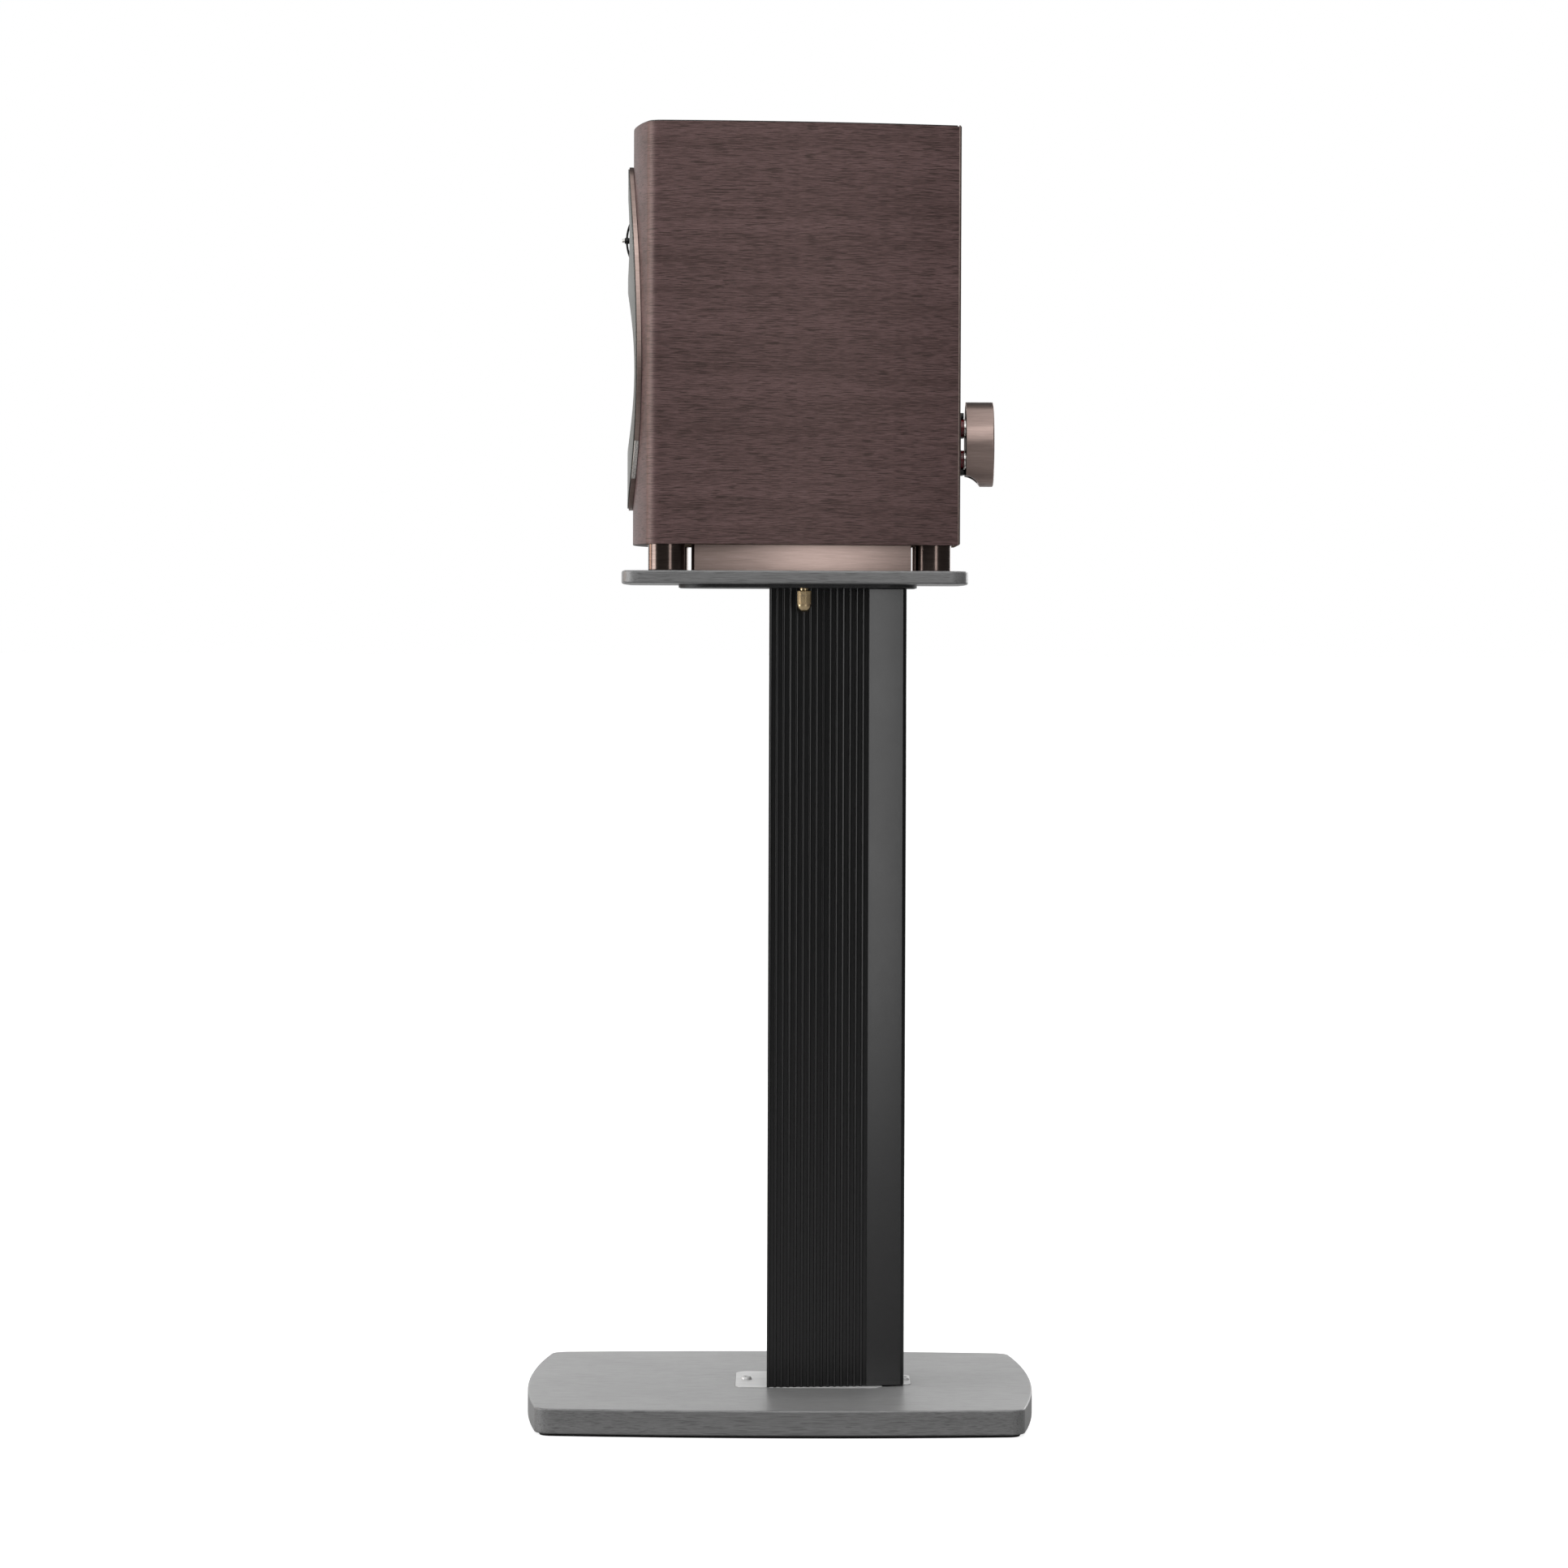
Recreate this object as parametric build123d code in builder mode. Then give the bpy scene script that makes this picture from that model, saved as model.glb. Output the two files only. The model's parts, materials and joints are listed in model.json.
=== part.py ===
from build123d import *
import math
import os

# Two-way bookshelf loudspeaker clamped onto its matching floor stand.
# Frame: millimetres, +Z up, the front of the speaker faces -Y, width along X,
# origin on the floor under the middle of the stand's base plate.

os.makedirs("parts", exist_ok=True)

# ---------------------------------------------------------------- driving sizes
# Stand, from the floor up
PAD_T = 2.3
BASE_T = 20.5
BASE_LENGTH = 420.0
BASE_WIDTH = 364.0
BASE_END_BOW = 13.0
BASE_SIDE_BOW = 10.0
BASE_CORNER_R = 14.0
FLANGE_T = 2.5
FLANGE_RECESS = 2.0
FLANGE_FRONT = (97.0, 122.0, 11.0)
FLANGE_FRONT_Y = 24.0
FLANGE_TONGUE = (56.0, 54.0, 5.0)
FLANGE_TONGUE_Y = 82.0
COLUMN_HEIGHT = 662.4
UNDER_PLATE_T = 3.0
UNDER_PLATE_PLAN = (152.0, 197.0, 34.0)
UNDER_PLATE_Y = 12.5
TOP_PLATE_T = 10.6
TOP_PLATE_LENGTH = 288.0
TOP_PLATE_WIDTH = 214.0
TOP_PLATE_CENTRE_Y = 10.0
TOP_PLATE_BOW = 4.0
TOP_PLATE_CORNER_R = 16.0

# Column plan
COLUMN_FRONT = (50.0, -11.0)
COLUMN_REAR = (35.0, 103.0)
COLUMN_SIDE_R = 700.0
COLUMN_SPLIT_Y = 71.6
COLUMN_WALL = 6.0
RIB_PITCH = 5.5
GROOVE_WIDTH = 3.0
GROOVE_DEPTH = 2.4
GROOVE_COUNT = 15
FIRST_GROOVE = 4.0
COVER_WALL = 2.5
COVER_CORNER_R = 4.0

# Clamp screws, M6 with a knurled head
CLAMP_X = 62.0
CLAMP_Y = 17.9
CLAMP_HEAD_R = 5.8
CLAMP_SHANK_R = 2.85

# Cabinet
PLINTH_H = 21.7
CABINET_H = 345.0
WALL = 15.0
PANEL_T = 18.0
REAR_PANEL_T = 20.0
SUB_BAFFLE_T = 20.0
TRIM_T = 2.0
TRIM_EDGE = 1.2
REAR_Y = 144.0
REAR_HALF_WIDTH = 59.0
BOW_R = 320.0
BOW_CENTRE_Y = 195.0
CORNER_X = 100.5
CORNER_R = 13.0
SIDE_R = 900.0
BAFFLE_FACE_Y = -112.0

# Drivers
WOOFER_Z = 864.0
WOOFER_FACE_Y = -117.0
WOOFER_OPENING_R = 66.5
TWEETER_Z = 974.5
TWEETER_FACE_Y = -127.2
TWEETER_OPENING_R = 35.0
SCREW_R = 1.8
WOOFER_SCREW_PCR = 63.2
TWEETER_SCREW_PCR = 31.0

# Front plate, egg shaped and bowed with the cabinet
PLATE_HALF_WIDTH = 75.0
PLATE_TOP = 171.5
PLATE_BOTTOM = 114.0
PLATE_SHELL = (320.3, 323.6)
FASCIA_SHELL = (323.6, 324.6)

# Rear terminals
TERMINAL_Z = 806.0
POST_X = 12.7
POST_DZ = 13.0
STEM_R = 3.0
RUNNING = 0.05
BANANA_R = 2.05
BANANA_DEPTH = 18.0
SHROUD_R = 35.25
SHROUD_Y = (152.0, 175.0)
SHROUD_WALL = 2.85
SHROUD_EDGE = 1.2

# ------------------------------------------------------------- derived heights
BASE_TOP = PAD_T + BASE_T
FLANGE_Z = BASE_TOP - FLANGE_RECESS
COLUMN_Z = FLANGE_Z + FLANGE_T
COLUMN_TOP = COLUMN_Z + COLUMN_HEIGHT
TOP_PLATE_Z = COLUMN_TOP + UNDER_PLATE_T
STAND_TOP = TOP_PLATE_Z + TOP_PLATE_T
CABINET_Z = STAND_TOP + PLINTH_H
CABINET_TOP = CABINET_Z + CABINET_H
CAVITY_Z = CABINET_Z + PANEL_T
CAP_T = 1.0
CAP_INSET = 1.2
WRAP_TOP = CABINET_TOP - CAP_T
CAVITY_TOP = WRAP_TOP - PANEL_T
CAVITY_H = CAVITY_TOP - CAVITY_Z


# -------------------------------------------------------------------- helpers
def save(label, builder):
    """Label a finished piece and write it as its own STEP file."""
    builder.part.label = label
    export_step(builder.part, f"parts/{label}.step")


def arc_centre(front, rear, radius):
    """Centre of an outward-bulging side arc that runs from front to rear."""
    half = math.dist(front, rear) / 2
    reach = math.sqrt(radius**2 - half**2)
    along = ((rear[0] - front[0]) / (2 * half), (rear[1] - front[1]) / (2 * half))
    middle = ((front[0] + rear[0]) / 2, (front[1] + rear[1]) / 2)
    return middle[0] - along[1] * reach, middle[1] + along[0] * reach


def bow_y(x, radius=BOW_R):
    """Depth of the bowed front at a distance x from the middle."""
    return BOW_CENTRE_Y - math.sqrt(radius**2 - x**2)


CORNER = (CORNER_X, bow_y(CORNER_X))
SIDE_CENTRE = arc_centre(CORNER, (REAR_HALF_WIDTH, REAR_Y), SIDE_R)
COLUMN_CENTRE = arc_centre(COLUMN_FRONT, COLUMN_REAR, COLUMN_SIDE_R)


def half_width(y, inset=0.0):
    """Half the cabinet's width at depth y, inside its skin by inset."""
    return SIDE_CENTRE[0] + math.sqrt((SIDE_R - inset) ** 2 - (y - SIDE_CENTRE[1]) ** 2)


def column_half_width(y, inset=0.0):
    """Half the column's width at depth y, inside its skin by inset."""
    reach = (COLUMN_SIDE_R - inset) ** 2 - (y - COLUMN_CENTRE[1]) ** 2
    return COLUMN_CENTRE[0] + math.sqrt(reach)


def tapered_region(width_at, inset, front, rear):
    """Fill the plan between two mirrored side arcs, flat at front and rear."""
    middle = (front + rear) / 2
    with BuildLine() as outline:
        for side in (1, -1):
            ThreePointArc(
                (side * width_at(front, inset), front),
                (side * width_at(middle, inset), middle),
                (side * width_at(rear, inset), rear),
            )
        for y in (front, rear):
            Line((-width_at(y, inset), y), (width_at(y, inset), y))
    make_face(outline.edges())


def cabinet_outline():
    """Lute-shaped plan of the cabinet: bowed front, rounded front corners."""
    middle = (CORNER[1] + REAR_Y) / 2
    with BuildLine() as outline:
        ThreePointArc((-CORNER[0], CORNER[1]), (0, bow_y(0)), CORNER)
        Line((-REAR_HALF_WIDTH, REAR_Y), (REAR_HALF_WIDTH, REAR_Y))
        for side in (1, -1):
            ThreePointArc(
                (side * CORNER[0], CORNER[1]),
                (side * half_width(middle), middle),
                (side * REAR_HALF_WIDTH, REAR_Y),
            )
    make_face(outline.edges())
    fillet(vertices().group_by(Axis.Y)[0], radius=CORNER_R)


def bowed_plate(length, width, end_bow, side_bow, corner_r, centre_y=0.0):
    """Plan of a stand plate whose four edges all bow gently outwards."""
    x, y = width / 2 - side_bow, length / 2 - end_bow
    with BuildLine() as outline:
        for side in (1, -1):
            ThreePointArc(
                (side * x, centre_y - y),
                (side * width / 2, centre_y),
                (side * x, centre_y + y),
            )
            ThreePointArc(
                (-x, centre_y + side * y),
                (0, centre_y + side * length / 2),
                (x, centre_y + side * y),
            )
    make_face(outline.edges())
    fillet(vertices(), radius=corner_r)


def egg_outline(inset):
    """Outline of the front plate: two half ellipses that meet at the woofer."""
    with BuildLine() as outline:
        for height, start in ((PLATE_TOP, 0), (PLATE_BOTTOM, 180)):
            EllipticalCenterArc(
                (0, WOOFER_Z),
                PLATE_HALF_WIDTH - inset,
                height - inset,
                start_angle=start,
                arc_size=180,
            )
    make_face(outline.edges())


def bowed_shell(inner, outer):
    """Keep only what lies between two upright cylinders about the bow's centre."""
    with BuildSketch(Plane.XY.offset(CABINET_Z)) as ring:
        with Locations((0, BOW_CENTRE_Y)):
            Circle(outer)
            Circle(inner, mode=Mode.SUBTRACT)
    extrude(ring.sketch, amount=CABINET_H, mode=Mode.INTERSECT)


def front_cut(y_front, depth, woofer_r, tweeter_r):
    """Cut the two round driver openings straight back from a plane y_front."""
    with BuildSketch(Plane.XZ.offset(-y_front)) as openings:
        with Locations((0, WOOFER_Z)):
            Circle(woofer_r)
        with Locations((0, TWEETER_Z)):
            Circle(tweeter_r)
    extrude(openings.sketch, amount=-depth, mode=Mode.SUBTRACT)


def ring_profile(inner_r, outer_r, front, rear):
    """Rectangle in a driver's half plane, from inner to outer radius."""
    with Locations(((inner_r + outer_r) / 2, (front + rear) / 2)):
        Rectangle(outer_r - inner_r, rear - front)


def dome_point(r, base_r, base, apex):
    """Point of a dome with its rim at (base_r, base) and its apex on the axis."""
    height = base - apex
    radius = (base_r**2 + height**2) / (2 * height)
    return r, apex + radius - math.sqrt(radius**2 - r**2)


def dome_arc(base_r, base, apex):
    """Arc of a dome from its rim to its apex."""
    ThreePointArc(
        (base_r, base), dome_point(base_r / 2, base_r, base, apex), (0, apex)
    )


def bolt_circle(radius, count, first_deg, z):
    """Positions (x, z) of count screws round a driver."""
    turns = [math.radians(first_deg + 360 / count * i) for i in range(count)]
    return [(radius * math.cos(a), z + radius * math.sin(a)) for a in turns]


def tube(points, bend_share=0.45):
    """Sweep one wire along straight runs joined by the largest tangent arcs."""
    route = [Vector(*p) for p in points]
    radii = []
    for before, here, after in zip(route, route[1:], route[2:]):
        turn = (here - before).get_angle(after - here)
        shorter = min((here - before).length, (after - here).length)
        radii.append(bend_share * shorter / math.tan(math.radians(turn) / 2))
    print("wire bends", [round(r, 1) for r in radii])
    with BuildLine() as line:
        FilletPolyline(*points, radius=radii)
    with BuildSketch(Plane(origin=line.line @ 0, z_dir=line.line % 0)) as section:
        Circle(WIRE_R)
    sweep(section.sketch, path=line.line)


DRIVER_SCREWS = bolt_circle(WOOFER_SCREW_PCR, 6, 0, WOOFER_Z)
TWEETER_SCREWS = bolt_circle(TWEETER_SCREW_PCR, 3, 90, TWEETER_Z)
WOOFER_PLANE = Plane(origin=(0, WOOFER_FACE_Y, WOOFER_Z), z_dir=(0, 0, 1))
WOOFER_AXIS = Axis((0, 0, WOOFER_Z), (0, 1, 0))
TWEETER_PLANE = Plane(origin=(0, TWEETER_FACE_Y, TWEETER_Z), z_dir=(0, 0, 1))
TWEETER_AXIS = Axis((0, 0, TWEETER_Z), (0, 1, 0))

# ------------------------------------------------------------- the floor stand
PAD_INSET = 4.0
PLATE_EDGE = 0.9
BOSSES = [(36, 3), (-36, 3), (32, 57), (-32, 57)]
BOSS_R = 7.5
M8_R = 4.0
M8_CLEAR_R = 4.25
M8_HEAD_R = 8.0
M8_HEAD_H = 4.0
FLANGE_SCREWS = [(0, -28.0), (0, 104.0)]
FLANGE_HOLE_R = 2.6

with BuildPart() as stand_base_pad:
    with BuildSketch():
        bowed_plate(
            BASE_LENGTH - 2 * PAD_INSET,
            BASE_WIDTH - 2 * PAD_INSET,
            BASE_END_BOW,
            BASE_SIDE_BOW,
            BASE_CORNER_R - PAD_INSET,
        )
    extrude(amount=PAD_T)
save("stand_base_pad", stand_base_pad)


def flange_outline():
    """Foot flange: a wide front tongue and a narrow one behind the column."""
    with BuildSketch(mode=Mode.PRIVATE) as wide:
        with Locations((0, FLANGE_FRONT_Y)):
            RectangleRounded(*FLANGE_FRONT)
    with BuildSketch(mode=Mode.PRIVATE) as narrow:
        with Locations((0, FLANGE_TONGUE_Y)):
            RectangleRounded(*FLANGE_TONGUE)
    add(wide.sketch)
    add(narrow.sketch)


with BuildPart() as stand_base_plate:
    with BuildSketch(Plane.XY.offset(PAD_T)):
        bowed_plate(
            BASE_LENGTH, BASE_WIDTH, BASE_END_BOW, BASE_SIDE_BOW, BASE_CORNER_R
        )
    extrude(amount=BASE_T)
    chamfer(edges().group_by(Axis.Z)[0] + edges().group_by(Axis.Z)[-1], PLATE_EDGE)
    with BuildSketch(Plane.XY.offset(FLANGE_Z)):
        flange_outline()
    extrude(amount=FLANGE_RECESS, mode=Mode.SUBTRACT)
    with Locations(Plane.XY.offset(PAD_T)):
        with Locations(*BOSSES):
            Cone(
                M8_HEAD_R,
                M8_R,
                M8_HEAD_H,
                align=(Align.CENTER, Align.CENTER, Align.MIN),
                mode=Mode.SUBTRACT,
            )
            Hole(M8_R)
save("stand_base_plate", stand_base_plate)

with BuildPart() as stand_foot_flange:
    with BuildSketch(Plane.XY.offset(FLANGE_Z)):
        flange_outline()
        with Locations(*BOSSES):
            Circle(M8_CLEAR_R, mode=Mode.SUBTRACT)
        with Locations(*FLANGE_SCREWS):
            Circle(FLANGE_HOLE_R, mode=Mode.SUBTRACT)
    extrude(amount=FLANGE_T)
save("stand_foot_flange", stand_foot_flange)

with BuildPart() as stand_column:
    with BuildSketch(Plane.XY.offset(COLUMN_Z)):
        tapered_region(column_half_width, 0, COLUMN_FRONT[1], COLUMN_SPLIT_Y)
        with BuildSketch(mode=Mode.PRIVATE) as hollow:
            tapered_region(
                column_half_width,
                COLUMN_WALL,
                COLUMN_FRONT[1] + COLUMN_WALL,
                COLUMN_SPLIT_Y - COLUMN_WALL,
            )
            with Locations(*BOSSES):
                Circle(BOSS_R, mode=Mode.SUBTRACT)
        add(hollow.sketch, mode=Mode.SUBTRACT)
        with Locations(*BOSSES):
            Circle(M8_R, mode=Mode.SUBTRACT)
        for groove in range(GROOVE_COUNT):
            y = COLUMN_FRONT[1] + FIRST_GROOVE + groove * RIB_PITCH
            x = column_half_width(y)
            with Locations((x, y), (-x, y)):
                Rectangle(2 * GROOVE_DEPTH, GROOVE_WIDTH, mode=Mode.SUBTRACT)
    extrude(amount=COLUMN_HEIGHT)
save("stand_column", stand_column)

COVER_GAP = 0.4
COVER_RETURN = 9.0
with BuildPart() as stand_cable_cover:
    with BuildSketch(Plane.XY.offset(COLUMN_Z + COVER_GAP)):
        tapered_region(column_half_width, 0, COLUMN_SPLIT_Y, COLUMN_REAR[1])
        fillet(vertices().group_by(Axis.Y)[-1], radius=COVER_CORNER_R)
        with BuildSketch(mode=Mode.PRIVATE) as channel:
            tapered_region(
                column_half_width,
                COVER_WALL,
                COLUMN_SPLIT_Y + COVER_WALL,
                COLUMN_REAR[1] - COVER_WALL,
            )
            slot_half = column_half_width(COLUMN_SPLIT_Y) - COVER_RETURN
            with Locations((0, COLUMN_SPLIT_Y + COVER_WALL / 2)):
                Rectangle(2 * slot_half, 2 * COVER_WALL)
        add(channel.sketch, mode=Mode.SUBTRACT)
    extrude(amount=COLUMN_HEIGHT - 2 * COVER_GAP)
save("stand_cable_cover", stand_cable_cover)

CLAMP_HOLE_R = 3.3
CLAMPS = [(CLAMP_X, CLAMP_Y), (-CLAMP_X, CLAMP_Y)]
with BuildPart() as stand_under_plate:
    with BuildSketch(Plane.XY.offset(COLUMN_TOP)):
        with Locations((0, UNDER_PLATE_Y)):
            RectangleRounded(*UNDER_PLATE_PLAN)
        with Locations(*BOSSES):
            Circle(M8_CLEAR_R, mode=Mode.SUBTRACT)
        with Locations(*CLAMPS):
            Circle(CLAMP_HOLE_R, mode=Mode.SUBTRACT)
    extrude(amount=UNDER_PLATE_T)
save("stand_under_plate", stand_under_plate)

with BuildPart() as stand_top_plate:
    with BuildSketch(Plane.XY.offset(TOP_PLATE_Z)):
        bowed_plate(
            TOP_PLATE_LENGTH,
            TOP_PLATE_WIDTH,
            TOP_PLATE_BOW,
            TOP_PLATE_BOW,
            TOP_PLATE_CORNER_R,
            TOP_PLATE_CENTRE_Y,
        )
    extrude(amount=TOP_PLATE_T)
    chamfer(edges().group_by(Axis.Z)[0] + edges().group_by(Axis.Z)[-1], PLATE_EDGE)
    with Locations(Plane.XY.offset(STAND_TOP)):
        with Locations(*CLAMPS):
            Hole(CLAMP_HOLE_R)
        with Locations(*BOSSES):
            Cone(
                M8_R,
                M8_HEAD_R,
                M8_HEAD_H,
                align=(Align.CENTER, Align.CENTER, Align.MAX),
                mode=Mode.SUBTRACT,
            )
            Hole(M8_R)
save("stand_top_plate", stand_top_plate)

SCREW_LENGTH = 46.0
with BuildPart() as stand_column_screws:
    for x, y in BOSSES:
        for end, way in ((PAD_T, 1), (STAND_TOP, -1)):
            with BuildSketch(Plane((x, y, end), x_dir=(1, 0, 0), z_dir=(0, -1, 0))):
                with BuildLine():
                    Polyline(
                        (0, 0),
                        (M8_HEAD_R, 0),
                        (M8_R, way * M8_HEAD_H),
                        (M8_R, way * SCREW_LENGTH),
                        (0, way * SCREW_LENGTH),
                        close=True,
                    )
                make_face()
            revolve(axis=Axis((x, y, 0), (0, 0, 1)))
save("stand_column_screws", stand_column_screws)

# -------------------------------------------- clamp screws under the top plate
CLAMP_HEAD_Z = (671.4, 683.4)
CLAMP_TIP_Z = 715.0
WASHER_Z = (683.5, 685.6)
WASHER_R = 3.5
KNURL_COUNT = 18
KNURL_R = 0.45
KNURL_SET_OUT = 0.1
SHANK_EDGE = 0.6
HEAD_EDGE = 0.3
for side, x in (("left", -CLAMP_X), ("right", CLAMP_X)):
    with BuildPart() as clamp_screw:
        with BuildSketch(Plane((x, CLAMP_Y, 0), x_dir=(1, 0, 0), z_dir=(0, -1, 0))):
            with BuildLine():
                Polyline(
                    (0, CLAMP_HEAD_Z[0] - CLAMP_HEAD_R),
                    (0, CLAMP_TIP_Z),
                    (CLAMP_SHANK_R - SHANK_EDGE, CLAMP_TIP_Z),
                    (CLAMP_SHANK_R, CLAMP_TIP_Z - SHANK_EDGE),
                    (CLAMP_SHANK_R, CLAMP_HEAD_Z[1]),
                    (CLAMP_HEAD_R - HEAD_EDGE, CLAMP_HEAD_Z[1]),
                    (CLAMP_HEAD_R, CLAMP_HEAD_Z[1] - HEAD_EDGE),
                    (CLAMP_HEAD_R, CLAMP_HEAD_Z[0]),
                )
                RadiusArc(
                    (CLAMP_HEAD_R, CLAMP_HEAD_Z[0]),
                    (0, CLAMP_HEAD_Z[0] - CLAMP_HEAD_R),
                    CLAMP_HEAD_R,
                )
            make_face()
        revolve(axis=Axis((x, CLAMP_Y, 0), (0, 0, 1)))
        with BuildSketch(Plane.XY.offset(CLAMP_HEAD_Z[0])):
            with Locations((x, CLAMP_Y)):
                with PolarLocations(CLAMP_HEAD_R + KNURL_SET_OUT, KNURL_COUNT):
                    Circle(KNURL_R)
        extrude(amount=CLAMP_HEAD_Z[1] - CLAMP_HEAD_Z[0], mode=Mode.SUBTRACT)
    save(f"clamp_screw_{side}", clamp_screw)
    with BuildPart() as clamp_washer:
        with BuildSketch(Plane.XY.offset(WASHER_Z[0])):
            with Locations((x, CLAMP_Y)):
                Circle(WASHER_R)
                Circle(CLAMP_SHANK_R + RUNNING, mode=Mode.SUBTRACT)
        extrude(amount=WASHER_Z[1] - WASHER_Z[0])
    save(f"clamp_washer_{side}", clamp_washer)

# ------------------------------------------------------- plinth under cabinet
PILLAR_R = 15.15
PILLARS = [(80, -95.2), (-80, -95.2), (42, 124), (-42, 124)]
BLADE_Y = (-75.0, 106.0)
BLADE_INSET = 20.0
BLADE_T = 14.0
BLADE_NOSE = 2.5
BLADE_ROOF = 4.0
PILLAR_EDGE = 0.6
M6_R = 3.0
M6_HEAD_R = 5.0
M6_HEAD_H = 4.0
M6_DEPTH = 12.0
BLADE_SCREW_Y = (-55.0, 85.0)
BLADE_SCREWS = [
    (side * half_width(y, BLADE_INSET + BLADE_T / 2), y)
    for side in (1, -1)
    for y in BLADE_SCREW_Y
]
PLINTH_SCREWS = PILLARS + BLADE_SCREWS
PLINTH_SCREW_HEAD_Z = CAVITY_Z - M6_HEAD_H

with BuildPart() as plinth_pillars:
    with BuildSketch(Plane.XY.offset(STAND_TOP)):
        with Locations(*PILLARS):
            Circle(PILLAR_R)
    extrude(amount=PLINTH_H)
    chamfer(edges().group_by(Axis.Z)[0], PILLAR_EDGE)
    with BuildSketch(Plane.XY.offset(CABINET_Z)):
        with Locations(*PILLARS):
            Circle(M6_R)
    extrude(amount=-M6_DEPTH, mode=Mode.SUBTRACT)
save("plinth_pillars", plinth_pillars)

with BuildPart() as plinth_blades:
    with BuildSketch(Plane.XY.offset(STAND_TOP)):
        tapered_region(half_width, BLADE_INSET, *BLADE_Y)
        with BuildSketch(mode=Mode.PRIVATE) as between:
            tapered_region(
                half_width, BLADE_INSET + BLADE_T, BLADE_Y[0] - 1, BLADE_Y[1] + 1
            )
        add(between.sketch, mode=Mode.SUBTRACT)
    extrude(amount=PLINTH_H)
    chamfer(edges().filter_by(Axis.Z).group_by(Axis.Y)[0], BLADE_NOSE)
    with BuildSketch(Plane.XY.offset(CABINET_Z)):
        with Locations(*BLADE_SCREWS):
            Circle(M6_R)
    extrude(amount=-M6_DEPTH, mode=Mode.SUBTRACT)
    with BuildSketch(Plane.XY.offset(STAND_TOP)):
        with Locations(*CLAMPS):
            Circle(CLAMP_SHANK_R + RUNNING)
    extrude(amount=PLINTH_H - BLADE_ROOF, mode=Mode.SUBTRACT)
save("plinth_blades", plinth_blades)

with BuildPart() as plinth_screws:
    with BuildSketch(Plane.XY.offset(CABINET_Z - M6_DEPTH)):
        with Locations(*PLINTH_SCREWS):
            Circle(M6_R)
    extrude(amount=PLINTH_SCREW_HEAD_Z - CABINET_Z + M6_DEPTH)
    with BuildSketch(Plane.XY.offset(PLINTH_SCREW_HEAD_Z)):
        with Locations(*PLINTH_SCREWS):
            Circle(M6_HEAD_R)
    extrude(amount=M6_HEAD_H)
save("plinth_screws", plinth_screws)

# -------------------------------------------------------------------- cabinet
PORT_CENTRE = (0.0, 30.0)
PORT_R = 25.0
PORT_TUBE_R = 27.5
PORT_MOUTH_R = 33.5
PORT_COLLAR_R = 36.0
PORT_COLLAR_H = 14.0
PORT_TOP = 880.0
CUTOUT = 38.0
REAR_SCREW_X = 36.0
REAR_SCREW_Z = (755.0, 893.0, 1031.0)
TERMINAL_SCREW_X = 21.8
REAR_SCREWS = [(side * REAR_SCREW_X, z) for side in (1, -1) for z in REAR_SCREW_Z]
TERMINAL_SCREWS = [(side * TERMINAL_SCREW_X, TERMINAL_Z) for side in (1, -1)]
REAR_SCREW_DEPTH = 16.0
REAR_HEAD_R = 3.2
REAR_HEAD_H = 1.4


def countersunk_holes(positions, surface_y, depth):
    """Holes for the small countersunk screws, bored towards the front."""
    with Locations(Plane((0, surface_y, 0), x_dir=(1, 0, 0), z_dir=(0, -1, 0))):
        with Locations(*positions):
            Cone(
                REAR_HEAD_R,
                SCREW_R,
                REAR_HEAD_H,
                align=(Align.CENTER, Align.CENTER, Align.MIN),
                mode=Mode.SUBTRACT,
            )
            Cylinder(
                SCREW_R,
                depth,
                align=(Align.CENTER, Align.CENTER, Align.MIN),
                mode=Mode.SUBTRACT,
            )


with BuildPart() as cabinet_wrap:
    with BuildSketch(Plane.XY.offset(CABINET_Z)):
        cabinet_outline()
        with BuildSketch(mode=Mode.PRIVATE) as cavity:
            tapered_region(half_width, WALL, BAFFLE_FACE_Y, REAR_Y + 2)
        add(cavity.sketch, mode=Mode.SUBTRACT)
    extrude(amount=WRAP_TOP - CABINET_Z)
    front_cut(
        bow_y(0) - 5, BAFFLE_FACE_Y - bow_y(0) + 5, WOOFER_OPENING_R, TWEETER_OPENING_R
    )
save("cabinet_wrap", cabinet_wrap)

with BuildPart() as top_panel:
    with BuildSketch(Plane.XY.offset(CAVITY_TOP)):
        tapered_region(half_width, WALL, BAFFLE_FACE_Y, REAR_Y)
    extrude(amount=PANEL_T)
    with BuildSketch(Plane.XY.offset(WRAP_TOP)):
        cabinet_outline()
        offset(amount=-CAP_INSET)
    extrude(amount=CAP_T)
save("top_panel", top_panel)

with BuildPart() as bottom_panel:
    with BuildSketch(Plane.XY.offset(CABINET_Z)):
        tapered_region(half_width, WALL, BAFFLE_FACE_Y, REAR_Y)
        with Locations(*PLINTH_SCREWS):
            Circle(M6_R, mode=Mode.SUBTRACT)
        with Locations(PORT_CENTRE):
            Circle(PORT_TUBE_R, mode=Mode.SUBTRACT)
    extrude(amount=PANEL_T)
    with BuildSketch(Plane.XY.offset(CABINET_Z)):
        with Locations(PORT_CENTRE):
            Circle(PORT_COLLAR_R)
    extrude(amount=PORT_COLLAR_H, mode=Mode.SUBTRACT)
    with BuildSketch(Plane.XY.offset(PLINTH_SCREW_HEAD_Z)):
        with Locations(*PLINTH_SCREWS):
            Circle(M6_HEAD_R)
    extrude(amount=M6_HEAD_H, mode=Mode.SUBTRACT)
save("bottom_panel", bottom_panel)

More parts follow.
